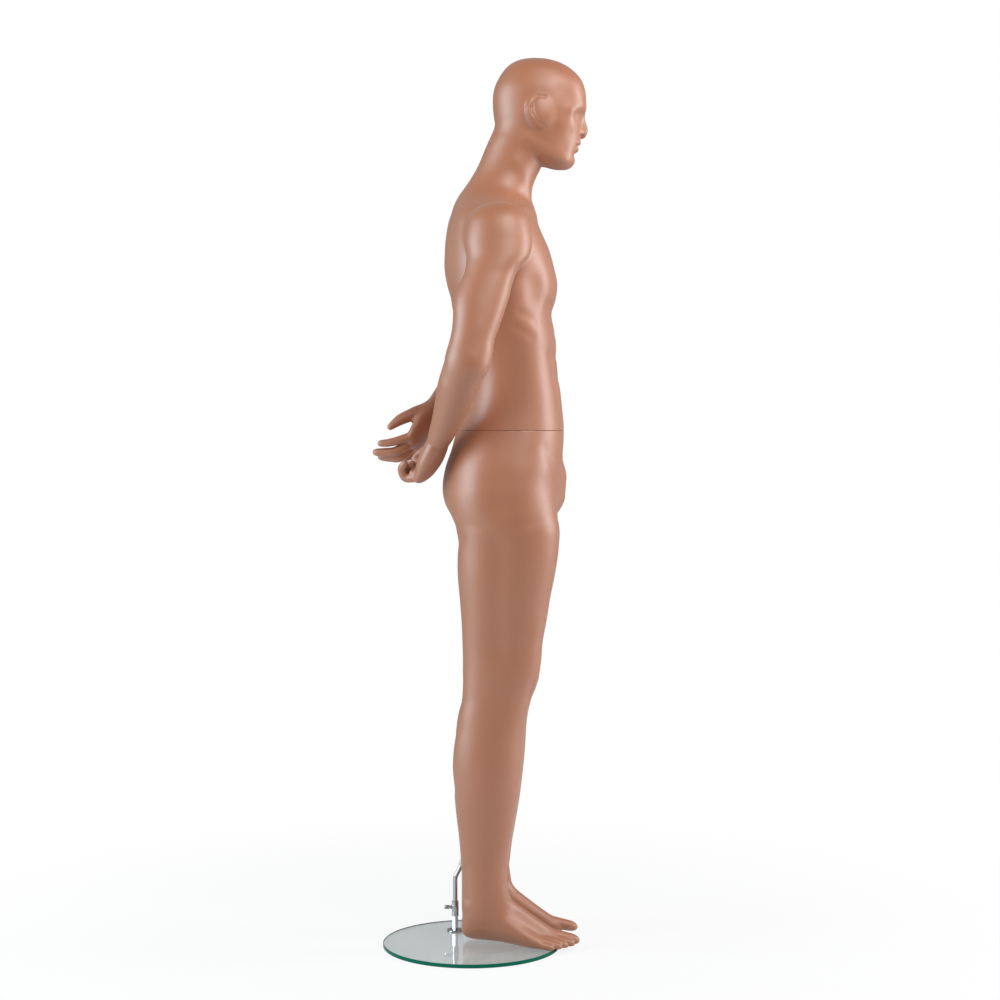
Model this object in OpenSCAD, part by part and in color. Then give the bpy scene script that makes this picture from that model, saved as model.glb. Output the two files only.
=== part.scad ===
// Display mannequin: a man standing with the hands behind the back on a round glass base.
// Fibreglass shells meet at the waist, shoulders and wrists, and a bent rod holds the left calf.
// Millimetres: X to the figure's left, Y to its back, Z up from the underside of the glass.

/* [Figure] */
// Height of the crown above the glass
figure_h = 1893; // [1800:1:2000]
// Distance of the figure's middle from the centre of the glass
figure_x = 24; // [10:1:36]
// Thickness of the fibreglass
wall = 4; // [3:0.5:5]
// Gap left open at the waist, shoulder and wrist seams
seam_gap = 0.8; // [0.6:0.1:1.4]

/* [Glass base] */
// Diameter of the glass
glass_d = 380; // [340:5:460]
// Thickness of the glass
glass_t = 8; // [8:1:12]
// Bevel of the polished edge
glass_bevel = 1; // [0.5:0.25:2]

/* [Rod and socket] */
// Diameter of the support rod
rod_d = 10; // [8:0.5:12]
// Lean of the rod's upper part towards the front, in degrees
rod_lean = 26.6; // [20:0.2:30]
// Radius of the rod's bend along its middle
bend_r = 16; // [14:1:20]
// Length of the sleeve in the calf
sleeve_l = 110; // [90:1:120]
// Outside diameter of the rod socket
socket_d = 15; // [14:0.5:18]
// Diameter of the base flange
flange_d = 36; // [32:1:44]
// Thickness of the base flange
flange_t = 5; // [4:0.5:7]
// Thread diameter of the base bolt
bolt_d = 8; // [6:1:8]
// Thread diameter of the wing screw
wing_screw_d = 5; // [4:0.5:6]

/* [Waist joint] */
// Diameter of the waist spigot
spigot_d = 25; // [20:1:32]
// Length of the waist spigot
spigot_l = 60; // [40:1:80]
// Diameter of the two waist plates
waist_plate_d = 110; // [90:1:130]
// Thickness of the waist, shoulder and wrist plates
plate_t = 4; // [3:0.5:5]
// Thickness of the plywood waist boards
board_t = 12; // [9:1:15]

/* [Shoulder and wrist joints] */
// Diameter of a shoulder stud
shoulder_stud_d = 20; // [16:1:24]
// Length of a shoulder stud
shoulder_stud_l = 30; // [24:1:36]
// Diameter of the shoulder plates
shoulder_plate_d = 80; // [72:1:88]
// Diameter of a wrist stud
wrist_stud_d = 12; // [10:0.5:14]
// Length of a wrist stud
wrist_stud_l = 20; // [16:1:24]
// Diameter of the wrist plates
wrist_plate_d = 30; // [26:1:32]

/* [Fits] */
// Radial clearance of a stud, spigot or rod in its bore
running = 0.05; // [0.03:0.01:0.1]
// Clearance around a piece that is bedded in its seat
bedding = 0.1; // [0.05:0.05:0.2]

/* [Hidden] */

$fn = 64;
skin_colour = "#c4926f";
chrome_colour = "#c9ccd1";
steel_colour = "#8f9499";
wood_colour = "#c8a878";
nylon_colour = "#e9e9e4";
glass_colour = [0.62, 0.78, 0.74, 0.45];
right = -1;
left = 1;
far = 3000;

// The tables below hold the figure at this height, from the top of the glass and the figure's middle.
table_h = 1893;
k = figure_h / table_h;

// Head: height, half width, front, back, squareness
head_rows = [
    [1656, 14, -206, -176, 2], [1661, 28, -213, -158, 2.1], [1672, 44, -219, -126, 2.2],
    [1685, 53, -222, -100, 2.2], [1698, 58, -226, -80, 2.2], [1712, 62, -230, -64, 2.2],
    [1730, 67, -232, -54, 2.2], [1752, 73, -237, -48, 2.2], [1778, 77, -243, -44, 2.2],
    [1802, 78, -246, -43, 2.2], [1826, 77, -243, -46, 2.2], [1848, 71, -234, -55, 2.2],
    [1868, 62, -216, -68, 2.1], [1882, 48, -194, -84, 2], [1890, 29, -171, -102, 2],
    [1893, 8, -146, -126, 2]];
// Head features: height, angle from the front, spread in height, spread in angle, rise
head_bumps = [
    [1737, 0, 11, 6, 16], [1754, 0, 12, 5, 9], [1763, 20, 9, 9, -7], [1763, -20, 9, 9, -7],
    [1711, 0, 8, 11, 4], [1778, 93, 26, 9, 9], [1778, -93, 26, 9, 9]];

// Torso and neck: height, half width, front, back, squareness
torso_rows = [
    [1080, 151, -198, 34, 2.3], [1106, 147, -198, 27, 2.3], [1140, 142, -195, 14, 2.3],
    [1180, 140, -191, 6, 2.3], [1220, 142, -185, 6, 2.3], [1260, 148, -182, 14, 2.3],
    [1300, 156, -180, 25, 2.3], [1340, 162, -172, 37, 2.4], [1360, 165, -176, 42, 2.4],
    [1380, 168, -182, 45, 2.4], [1405, 169, -184, 52, 2.4], [1440, 170, -178, 58, 2.4],
    [1480, 170, -167, 56, 2.4], [1520, 170, -150, 52, 2.4], [1540, 168, -142, 49, 2.3],
    [1553, 162, -138, 45, 2.2], [1564, 150, -136, 42, 2.1], [1576, 126, -133, 39, 2],
    [1588, 100, -129, 33, 2], [1600, 82, -129, 26, 2], [1614, 70, -130, 16, 2],
    [1628, 64, -134, 6, 2], [1644, 60, -141, -4, 2], [1664, 59, -151, -15, 2],
    [1690, 60, -163, -26, 2], [1720, 62, -170, -39, 2], [1750, 58, -168, -50, 2]];
// Torso muscles: breast, its lower edge, the hollow of the spine and the shoulder blades
torso_bumps = [
    [1405, 30, 34, 24, 8], [1405, -30, 34, 24, 8], [1390, 0, 60, 10, -6],
    [1325, 180, 150, 9, -9], [1445, 150, 50, 18, 5], [1445, -150, 50, 18, 5]];

// Pelvis: height, half width, front, back, squareness
pelvis_rows = [
    [872, 118, -130, -40, 2.2], [896, 156, -160, 24, 2.2], [920, 170, -182, 44, 2.3],
    [945, 174, -188, 57, 2.3], [970, 175, -190, 62, 2.3], [995, 172, -192, 61, 2.3],
    [1020, 167, -194, 56, 2.3], [1045, 161, -195, 48, 2.3], [1070, 155, -197, 38, 2.3],
    [1106, 147, -198, 27, 2.3], [1132, 143, -196, 18, 2.3]];
// Pelvis features: the front and the cleft at the back
pelvis_bumps = [[982, 0, 34, 16, 16], [950, 180, 55, 8, -18]];

// Leg: height, inner side, outer side, front, back, squareness
leg_rows = [
    [50, 46, 98, -64, 8, 2], [64, 41, 104, -78, 17, 2.1], [87, 39, 108, -84, 20, 2.2],
    [112, 38, 109, -81, 20, 2.2], [145, 38, 109, -75, 20, 2.2], [190, 36, 111, -77, 22, 2.1],
    [240, 30, 120, -86, 26, 2.1], [290, 23, 129, -95, 32, 2.1], [340, 18, 137, -102, 36, 2.1],
    [395, 16, 140, -108, 39, 2.1], [470, 20, 138, -114, 31, 2.1], [500, 23, 136, -119, 27, 2.2],
    [530, 26, 135, -126, 21, 2.2], [560, 27, 136, -137, 19, 2.2], [580, 27, 137, -143, 18, 2.2],
    [610, 27, 139, -148, 17, 2.2], [650, 23, 142, -151, 18, 2.2], [700, 18, 149, -160, 20, 2.2],
    [750, 12, 156, -168, 24, 2.2], [800, 8, 162, -178, 28, 2.2], [850, 5, 167, -185, 28, 2.2],
    [900, 2, 171, -187, 33, 2.2], [925, 2, 170, -183, 44, 2.2], [970, 8, 164, -172, 45, 2.2],
    [1010, 20, 150, -150, 30, 2.2]];

// Foot: distance from the back of the heel, inner side, outer side, underside, top, squareness
foot_rows = [
    [0, -8, 8, 38, 56, 2], [4, -18, 18, 31, 68, 2.1], [14, -26, 26, 25, 84, 2.2],
    [30, -30, 30, 22, 98, 2.2], [56, -31, 32, 18, 104, 2.2], [86, -31, 34, 13, 90, 2.1],
    [112, -33, 36, 8, 72, 2.1], [135, -36, 37, 3, 57, 2.1], [155, -39, 37, 0.8, 46, 2.2],
    [167, -40, 34, 0.6, 40, 2.3], [180, -40, 26, 0.6, 35, 2.3], [192, -40, 15, 1, 31, 2.3],
    [203, -38, 2, 2, 28, 2.3], [211, -34, -12, 5, 24, 2.3]];
// Instep on the inner side of the foot, in the same columns
instep_rows = [
    [40, -20, 20, 60, 106, 2], [60, -25, 20, 48, 110, 2], [86, -30, 18, 36, 109, 2],
    [112, -34, 14, 26, 99, 2], [135, -37, 10, 18, 85, 2], [155, -39, 6, 12, 71, 2],
    [175, -40, 1, 8, 57, 2], [194, -40, -6, 6, 44, 2], [208, -37, -12, 8, 34, 2]];
// Toes from the big toe out: distance from the foot's middle line, tip, radius
toes = [[-25, 246, 12], [-9, 238, 8.8], [5, 225, 8.4], [17, 212, 8], [28, 196, 7.6]];
// A toe: distance back from its tip, height above its middle, width and height against its radius
toe_rows = [[55, 10, 1, 1.2], [28, 5, 1, 1], [10, 1, 1, 0.9], [2.5, -1, 0.72, 0.6], [0, -2, 0.3, 0.25]];
heel = [70, 20, 0];
foot_splay = 3;
// Distance of the left shin ahead of the right, from nothing at the hip and at the sole
left_lead = 8;
hip_z = 900;
shin_z = 180;

// Upper arm: height, inner side, outer side, front, back, squareness
arm_rows = [
    [1190, 232, 264, -14, 24, 2], [1198, 221, 275, -28, 38, 2], [1219, 213, 286, -42, 50, 2.1],
    [1245, 210, 289, -45, 50, 2.1], [1283, 205, 286, -50, 41, 2.1], [1324, 196, 281, -63, 36, 2.1],
    [1364, 187, 274, -76, 34, 2.1], [1395, 180, 267, -85, 22, 2.1], [1425, 170, 259, -97, 10, 2.1],
    [1453, 150, 252, -120, 7, 2.1], [1485, 134, 246, -127, 12, 2.1], [1515, 124, 241, -124, 9, 2.1],
    [1537, 126, 233, -118, 2, 2.1], [1555, 134, 217, -106, -14, 2.1], [1565, 146, 198, -91, -31, 2],
    [1569, 160, 183, -76, -45, 2]];
// Forearms from the elbow to the wrist seam: X, Y, Z, wide radius, thin radius
right_forearm = [
    [250, 3, 1236, 38, 40], [224, 21, 1198, 42, 42], [192, 33, 1160, 40, 38],
    [158, 47, 1124, 35, 31], [122, 62, 1089, 29.5, 25.5]];
left_forearm = [
    [250, 3, 1236, 38, 40], [222, 19, 1217, 42, 41], [190, 35, 1198, 40, 37],
    [156, 51, 1180, 35, 31], [122, 67, 1162, 30, 26], [98, 78, 1149, 28.5, 23]];
// Way that each hand points and way that its palm faces
right_point = unit([-0.52, 0.36, -0.77]);
right_palm = square_to([-0.16, 0.85, 0.5], right_point);
left_point = unit([-0.42, 0.47, -0.78]);
left_palm = square_to([0.34, 0.87, 0.34], left_point);
// Fingers from the forefinger out: distance across the palm, along it, size against a plain finger,
// and the bends of the three joints from the knuckle out, in degrees
right_fingers = [
    [28, 84, 0.85, 50, 105, 60], [9.5, 87, 0.9, 50, 105, 60],
    [-9.5, 86, 0.92, 46, 95, 60], [-27, 82, 0.95, 48, 80, 55]];
left_fingers = [
    [28, 88, 0.97, 43, 8, 10], [9.5, 92, 1.12, 30, 28, 8],
    [-9.5, 90, 1.1, 18, 44, 10], [-27, 82, 0.85, 10, 50, 12]];
finger_bones = [36, 22, 17];
finger_r = 10;
// Finger from inside the palm to its tip: radius against the finger's own
finger_taper = [1, 1, 0.93, 0.86, 0.72, 0.3];
finger_root = 14;
finger_nub = 3;
// Palms: distance from the wrist, half width, half thickness
right_palm_rows = [[22, 36, 24], [48, 42, 24], [74, 42, 20], [90, 38, 14], [97, 28, 9]];
left_palm_rows = [[24, 36, 21], [52, 44, 18], [77, 43, 15], [92, 37, 12], [98, 28, 8]];
// Thumbs: distance across the palm, along it, in front of it, radius
right_thumb = [[12, 10, 4, 14], [26, 30, 12, 13], [30, 52, 20, 11], [24, 68, 30, 10], [14, 78, 36, 6]];
left_thumb = [[6, 4, 4, 17], [18, 24, 16, 17], [31, 46, 27, 13.5], [36, 68, 40, 11.5], [37, 92, 50, 7]];
wrist_reach = 16;
wrist_half = [29, 22];

// Places of the joints, in the figure's own tables
waist_y = -85;
waist_z = 1100;
shoulder_x = 172;
shoulder_y = -57;
shoulder_z = 1500;
armpit_z = 1432;
arm_cut_z = 1372;
rod_at = [68, 37];
rod_bend_z = 118;
// Heights at which the hollows of the shells are drawn
pelvis_levels = [915, 960, 1005, 1050];
leg_levels = [330, 420, 510, 600, 690, 780, 870, 960];
torso_levels = [1180, 1260, 1340, 1400, 1460, 1520, 1550, 1575, 1605, 1650, 1700, 1735];
head_levels = [1700, 1740, 1790, 1830, 1860, 1878];
arm_levels = [1228, 1283, 1340, 1400, 1450, 1500, 1530];
forearm_levels = 3;
// Thickness left around the hollows, with the muscles and the face
leg_wall = wall + 1;
arm_wall = 1.5 * wall;
head_wall = 1.5 * wall + 4;
torso_wall = 1.5 * wall + 6;

torso_sides = 28;
head_sides = 26;
limb_sides = 20;
foot_sides = 12;
finger_sides = 8;
hollow_sides = 12;

// Overrun of a cut past the face that it opens
cut = 1;
shoulder_hole_gap = 14;
barrel_wall = 4;
barrel_floor = 4;
tip_gap = 2;
tip_bevel = 2;
mouth = board_t + plate_t + tip_gap;
end_wall = 2 * plate_t;
shoulder_hole_d = shoulder_stud_d + 2 * shoulder_hole_gap;
spigot_barrel_d = spigot_d + 2 * barrel_wall;
shoulder_barrel_d = shoulder_stud_d + 2 * barrel_wall;
waist_screws = 4;
waist_circle_d = 0.8 * waist_plate_d;
shoulder_screws = 3;
shoulder_circle_d = 0.78 * shoulder_plate_d;
shoulder_screw_l = end_wall + plate_t;
wrist_root_l = 16;
wrist_barrel_l = wrist_stud_l + tip_gap + barrel_floor;

gasket_t = 1;
flange_z = glass_t + gasket_t;
coupling_z = flange_z + flange_t;
coupling_h = 26;
coupling_af = 12;
socket_z = coupling_z + coupling_h;
socket_h = 34;
socket_floor = 6;
stub_h = 12;
stub_gap = 1;
rod_seat_z = socket_z + socket_floor;
wing_z = socket_z + 20;
wing_boss_l = 3;
wing_boss_wall = 2;
bolt_head_d = 2 * bolt_d;
bolt_head_z = 0.6;
bush_wall = 2;
bush_d = bolt_head_d + 4 * bush_wall;
bush_top_d = bolt_d + 2 * bush_wall;
bush_cone_h = glass_t - bush_wall;
sleeve_wall = 2.5;
sleeve_floor = 4;
sleeve_d = rod_d + 2 * sleeve_wall;
screw_d = 4;
screw_head_d = 8;
screw_head_h = 2;
lean = [0, -sin(rod_lean), cos(rod_lean)];

function unit(v) = v / norm(v);
// Part of a direction that is square to another one
function square_to(v, way) = unit(v - (v * way) * way);
function in_figure(p) = [figure_x + k * p.x, k * p.y, glass_t + k * p.z];
function mirrored(p, side) = [side * p.x, p.y, p.z];

rod_x = figure_x + k * rod_at.x;
rod_y = k * rod_at.y;
bend_z = glass_t + k * rod_bend_z;
// The sleeve starts where the leaning rod meets the back of the calf.
sleeve_start = 30;
sleeve_end = sleeve_start + sleeve_l;
waist_at = in_figure([0, waist_y, waist_z]);

// Slope of column c of a table at row i
function slope(rows, i, c) =
    let (a = max(i - 1, 0), b = min(i + 1, len(rows) - 1))
    (rows[b][c] - rows[a][c]) / (rows[b][0] - rows[a][0]);
// Smooth curve between two values with their slopes over a step
function hermite(p, q, m, n, t, step) =
    (2 * t^3 - 3 * t^2 + 1) * p + (t^3 - 2 * t^2 + t) * step * m
    + (3 * t^2 - 2 * t^3) * q + (t^3 - t^2) * step * n;
// A table's row at any height
function row_at(rows, z) =
    let (i = [for (j = [0:len(rows) - 2]) if (z <= rows[j + 1][0]) j][0],
         step = rows[i + 1][0] - rows[i][0],
         t = (z - rows[i][0]) / step)
    [z, for (c = [1:len(rows[0]) - 1])
        hermite(rows[i][c], rows[i + 1][c], slope(rows, i, c), slope(rows, i + 1, c), t, step)];
// Rows with a half width as rows with two sides
function paired(rows) = [for (r = rows) [r[0], -r[1], r[1], r[2], r[3], r[4]]];
// Each gap of a table cut into a number of steps
function fine(rows, steps) = [
    for (i = [0:len(rows) - 2], s = [0:steps - 1])
        row_at(rows, rows[i][0] + (rows[i + 1][0] - rows[i][0]) * s / steps),
    rows[len(rows) - 1]];
function turn(a) = a - 360 * round(a / 360);
function rise(bumps, z, a) = len(bumps) == 0 ? 0 :
    [for (b = bumps) b[4] * exp(-((z - b[0]) / b[2])^2 - (turn(a - b[1]) / b[3])^2)]
    * [for (b = bumps) 1];
// Distance from a section's middle to its edge, at an angle from the front
function reach(row, a, inset) =
    let (hx = (row[2] - row[1]) / 2 - inset, hy = (row[4] - row[3]) / 2 - inset)
    ((abs(sin(a)) / hx)^row[5] + (abs(cos(a)) / hy)^row[5])^(-1 / row[5]);
function section(row, sides, bumps, inset) = [
    for (j = [0:sides - 1])
        let (a = 360 * j / sides, r = reach(row, a, inset) + rise(bumps, row[0], a))
        [(row[1] + row[2]) / 2 + r * sin(a), (row[3] + row[4]) / 2 - r * cos(a), row[0]]];
function flat(points) = [for (p = points) [p.x, p.y]];

// Point and slope of a smooth path through stations
function station(path, u, order) =
    let (last = len(path) - 1, i = min(floor(u), last - 1), t = u - i,
         a = path[max(i - 1, 0)], b = path[i], c = path[i + 1], d = path[min(i + 2, last)])
    order == 0
        ? 0.5 * (2 * b + (c - a) * t + (2 * a - 5 * b + 4 * c - d) * t^2 + (3 * b - a - 3 * c + d) * t^3)
        : 0.5 * ((c - a) + 2 * (2 * a - 5 * b + 4 * c - d) * t + 3 * (3 * b - a - 3 * c + d) * t^2);
function xyz(v) = [v[0], v[1], v[2]];
// Elliptical rings square to a path, with their wide axis square to a reference direction
function hoops(path, ref, sides, steps, inset) = [
    for (s = [0:(len(path) - 1) * steps])
        let (u = s / steps, at = station(path, u, 0), along = unit(xyz(station(path, u, 1))),
             wide = unit(cross(ref, along)), thin = cross(along, wide))
        [for (j = [0:sides - 1])
            let (a = 360 * j / sides)
            xyz(at) + (at[3] - inset) * cos(a) * wide + (at[4] - inset) * sin(a) * thin]];

// Solid through rings of points that run the same way round
module loft(rings) {
    n = len(rings[0]);
    last = len(rings) - 1;
    walls = [for (i = [0:last - 1], j = [0:n - 1])
        let (a = i * n + j, b = i * n + (j + 1) % n)
        each [[a, a + n, b], [b, a + n, b + n]]];
    ends = [[for (j = [0:n - 1]) j], [for (j = [n - 1:-1:0]) last * n + j]];
    polyhedron([for (ring = rings) each ring], concat(walls, ends));
}

module stack(rows, sides, bumps = [], inset = 0) {
    loft([for (row = rows) section(row, sides, bumps, inset)]);
}

module tube(path, ref, sides, steps = 1, inset = 0) {
    loft(hoops(path, ref, sides, steps, inset));
}

// Joins its children into one moulded skin
module skin() {
    resize([0, 0, 0]) union() children();
}

module figure() {
    translate([figure_x, 0, glass_t]) scale(k) children();
}

module sided(side) {
    mirror([side < 0 ? 1 : 0, 0, 0]) children();
}

// Turns its children's Z axis along a direction
module along(direction) {
    d = unit(direction);
    rotate([0, acos(d.z), atan2(d.y, d.x)]) children();
}

module slab(low, high) {
    translate([-far / 2, -far / 2, low]) cube([far, far, high - low]);
}

// Countersunk screws on a circle in the plane Z = 0, pointing down
module screws(count, circle_d, length) {
    for (i = [0:count - 1]) {
        rotate([0, 0, 360 * (i + 0.5) / count]) translate([circle_d / 2, 0, 0]) union() {
            translate([0, 0, -screw_head_h])
                cylinder(h = screw_head_h, d1 = screw_d, d2 = screw_head_d);
            translate([0, 0, -length]) cylinder(h = length - screw_head_h, d = screw_d);
        }
    }
}

// Plate above the plane Z = 0 with a bevelled stud below it
module plug(plate_d, stud_d, stud_l) {
    rotate_extrude() polygon([
        [0, plate_t], [plate_d / 2, plate_t], [plate_d / 2, 0], [stud_d / 2, 0],
        [stud_d / 2, tip_bevel - stud_l], [stud_d / 2 - tip_bevel, -stud_l], [0, -stud_l]]);
}

// Base

module base_axis() {
    translate([rod_x, rod_y, 0]) children();
}

module glass_base() {
    color(glass_colour) difference() {
        rotate_extrude($fn = 180) polygon([
            [0, 0], [glass_d / 2 - glass_bevel, 0], [glass_d / 2, glass_bevel],
            [glass_d / 2, glass_t - glass_bevel], [glass_d / 2 - glass_bevel, glass_t], [0, glass_t]]);
        base_axis() {
            translate([0, 0, -cut]) cylinder(h = glass_t + 2 * cut, d = bush_top_d);
            cylinder(h = bush_cone_h, d1 = bush_d, d2 = bush_top_d);
        }
    }
}

// Countersunk bolt, up to just below the stub of the rod socket
module bolt_profile(grow) {
    cone_h = (bolt_head_d - bolt_d) / 2;
    shank_z = bolt_head_z + cone_h;
    translate([0, 0, bolt_head_z])
        cylinder(h = cone_h, d1 = bolt_head_d + 2 * grow, d2 = bolt_d + 2 * grow);
    translate([0, 0, shank_z]) cylinder(h = socket_z - stub_h - stub_gap - shank_z, d = bolt_d + 2 * grow);
}

module bolt_bush() {
    color(nylon_colour) base_axis() difference() {
        union() {
            cylinder(h = bush_cone_h, d1 = bush_d - 2 * bedding, d2 = bush_top_d - 2 * bedding);
            cylinder(h = glass_t, d = bush_top_d - 2 * bedding);
        }
        bolt_profile(bedding);
        translate([0, 0, -cut]) cylinder(h = cut + bolt_head_z, d = bolt_head_d + 2 * bedding);
    }
}

module base_bolt() {
    key_d = 0.7 * bolt_d;
    key_depth = 0.4 * bolt_d;
    color(steel_colour) base_axis() difference() {
        bolt_profile(0);
        translate([0, 0, bolt_head_z - cut]) cylinder(h = cut + key_depth, d = key_d, $fn = 6);
    }
}

module flange_gasket() {
    color("#d9dcdc") base_axis() translate([0, 0, glass_t]) difference() {
        cylinder(h = gasket_t, d = flange_d);
        translate([0, 0, -cut]) cylinder(h = gasket_t + 2 * cut, d = bolt_d + 2 * bedding);
    }
}

module base_flange() {
    rim = 2;
    bevel = 1;
    neck_r = 0.75 * coupling_af;
    color(chrome_colour) base_axis() translate([0, 0, flange_z]) difference() {
        rotate_extrude() polygon([
            [0, 0], [flange_d / 2, 0], [flange_d / 2, rim], [flange_d / 2 - 2 * bevel, rim + bevel],
            [neck_r, flange_t], [0, flange_t]]);
        translate([0, 0, -cut]) cylinder(h = flange_t + 2 * cut, d = bolt_d + 2 * bedding);
    }
}

module coupling_nut() {
    color(chrome_colour) base_axis() translate([0, 0, coupling_z]) difference() {
        cylinder(h = coupling_h, d = coupling_af / cos(30), $fn = 6);
        translate([0, 0, -cut]) cylinder(h = coupling_h + 2 * cut, d = bolt_d);
    }
}

module rod_socket() {
    foot_bevel = 0.5;
    lip_bevel = 1;
    color(chrome_colour) base_axis() difference() {
        union() {
            translate([0, 0, socket_z - stub_h]) cylinder(h = stub_h, d = bolt_d);
            translate([0, 0, socket_z]) rotate_extrude() polygon([
                [0, 0], [socket_d / 2 - foot_bevel, 0], [socket_d / 2, foot_bevel],
                [socket_d / 2, socket_h - lip_bevel], [socket_d / 2 - lip_bevel, socket_h], [0, socket_h]]);
            translate([0, 0, wing_z]) rotate([-90, 0, 0])
                cylinder(h = socket_d / 2 + wing_boss_l, d = wing_screw_d + 2 * wing_boss_wall);
        }
        translate([0, 0, rod_seat_z]) cylinder(h = socket_h, d = rod_d + 2 * running);
        translate([0, 0, wing_z]) rotate([-90, 0, 0])
            cylinder(h = socket_d, d = wing_screw_d + 2 * running);
    }
}

module wing_screw() {
    hub_gap = 2;
    hub_y = socket_d / 2 + wing_boss_l + hub_gap;
    hub_l = 6;
    hub_d = wing_screw_d + 4;
    wing_w = 24;
    wing_l = 9;
    wing_t = 2.5;
    notch_d = wing_w * 2 / 3;
    tip_y = rod_d / 2 + 2 * running;
    color(chrome_colour) base_axis() translate([0, 0, wing_z]) rotate([-90, 0, 0]) union() {
        translate([0, 0, tip_y]) cylinder(h = hub_y - tip_y, d = wing_screw_d);
        translate([0, 0, hub_y]) cylinder(h = hub_l, d = hub_d);
        difference() {
            translate([-wing_w / 2, -wing_t / 2, hub_y + hub_gap]) cube([wing_w, wing_t, wing_l]);
            translate([0, 0, hub_y + hub_l + notch_d / 2]) rotate([90, 0, 0])
                cylinder(h = 2 * wing_t, d = notch_d, center = true);
        }
    }
}

// Straight foot, bend and leaning end, which turn about the middle of the bend
module support_rod() {
    bend_run = bend_r * tan(rod_lean / 2);
    straight_l = bend_z - bend_run - rod_seat_z;
    leaning_l = sleeve_end - sleeve_floor - bedding - bend_run;
    // Bending draws the rod a little thinner, and the bend runs a little way into both straight parts.
    bend_thin = 0.04;
    bend_lap = 1.8;
    color(chrome_colour) base_axis() translate([0, -bend_r, rod_seat_z + straight_l]) {
        translate([0, bend_r, -straight_l]) cylinder(h = straight_l, d = rod_d);
        rotate([90, 0, 90]) rotate([0, 0, -bend_lap])
            rotate_extrude(angle = rod_lean + 2 * bend_lap)
                translate([bend_r, 0]) circle(d = rod_d - bend_thin);
        rotate([rod_lean, 0, 0]) translate([0, bend_r, 0]) cylinder(h = leaning_l, d = rod_d);
    }
}

// Cylinder on the leaning part of the rod, from one distance above the bend to another
module on_lean(from, to, d) {
    translate([rod_x, rod_y, bend_z] + from * lean) rotate([rod_lean, 0, 0]) cylinder(h = to - from, d = d);
}

module calf_sleeve() {
    color(steel_colour) difference() {
        on_lean(sleeve_start, sleeve_end, sleeve_d);
        on_lean(sleeve_start - cut, sleeve_end - sleeve_floor, rod_d + 2 * running);
    }
}

// Lower body

// Leg rows brought forward towards the foot on the left side
function led(rows, side) = [for (r = rows)
    let (lead = side == left ? left_lead * max(0, min(r[0] / shin_z, 1 - (r[0] - shin_z) / hip_z)) : 0)
    [r[0], r[1], r[2], r[3] - lead, r[4] - lead, r[5]]];

module foot() {
    translate(heel) rotate([0, 0, foot_splay]) rotate([90, 0, 0]) {
        stack(foot_rows, foot_sides);
        stack(instep_rows, foot_sides);
        for (toe = toes) {
            r = toe[2];
            tube([for (t = toe_rows) [toe.x, r + t[1], toe.y - t[0], r * t[2], r * t[3]]],
                [0, 1, 0], finger_sides);
        }
    }
}

module lower_form() {
    stack(paired(pelvis_rows), torso_sides, pelvis_bumps);
    for (side = [right, left]) sided(side) {
        stack(led(leg_rows, side), limb_sides);
        foot();
    }
}

module lower_hollow() {
    top = waist_z - mouth / k + cut;
    stack([for (z = concat(pelvis_levels, top)) row_at(paired(pelvis_rows), z)], limb_sides, [], wall);
    for (side = [right, left]) sided(side)
        stack(led([for (z = leg_levels) row_at(leg_rows, z)], side), hollow_sides, [], leg_wall);
}

// Outline of the opening at the waist of the lower half or the upper half
function waist_outline(inset, upper) =
    let (row = upper
        ? row_at(paired(torso_rows), waist_z + mouth / k)
        : row_at(paired(pelvis_rows), waist_z))
    flat(section(row, torso_sides, [], inset));

module waist_prism(low, high, inset, upper) {
    figure() translate([0, 0, waist_z + low / k])
        linear_extrude(height = (high - low) / k) polygon(waist_outline(inset, upper));
}

module lower_body_shell() {
    color(skin_colour) difference() {
        skin() difference() {
            figure() difference() {
                lower_form();
                translate([0, 0, waist_z - seam_gap / 2 / k]) slab(0, far);
                lower_hollow();
            }
            waist_prism(-mouth, far / 10, wall, false);
        }
        on_lean(sleeve_start - rod_d * 2, sleeve_end, sleeve_d);
    }
}

module lower_waist_board() {
    color(wood_colour) difference() {
        waist_prism(-plate_t - board_t, -plate_t, wall + bedding, false);
        translate([waist_at.x, waist_at.y, 0]) cylinder(h = far, d = spigot_barrel_d + 2 * bedding);
        translate(waist_at) screws(waist_screws, waist_circle_d, board_t);
    }
}

module waist_socket() {
    barrel_l = spigot_l + tip_gap + barrel_floor;
    color(steel_colour) difference() {
        translate([waist_at.x, waist_at.y, 0]) union() {
            translate([0, 0, waist_at.z - plate_t]) cylinder(h = plate_t, d = waist_plate_d);
            translate([0, 0, waist_at.z - barrel_l]) cylinder(h = barrel_l, d = spigot_barrel_d);
        }
        translate(waist_at - [0, 0, spigot_l + tip_gap])
            cylinder(h = spigot_l + tip_gap + cut, d = spigot_d + 2 * running);
        translate(waist_at) screws(waist_screws, waist_circle_d, board_t);
    }
}

module waist_socket_screws() {
    color(steel_colour) translate(waist_at) screws(waist_screws, waist_circle_d, board_t);
}

// Upper body

module torso_form() {
    stack(paired(torso_rows), torso_sides, torso_bumps);
    stack(fine(paired(head_rows), 2), head_sides, head_bumps);
    for (side = [right, left]) sided(side) intersection() {
        stack(arm_rows, limb_sides);
        translate([0, -far / 2, armpit_z]) cube([shoulder_x - seam_gap / 2 / k, far, far]);
    }
}

module torso_hollow() {
    low = waist_z + mouth / k - cut;
    stack([for (z = concat(low, torso_levels)) row_at(paired(torso_rows), z)], limb_sides, [], torso_wall);
    stack([for (z = head_levels) row_at(paired(head_rows), z)], hollow_sides, [], head_wall);
}

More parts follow.
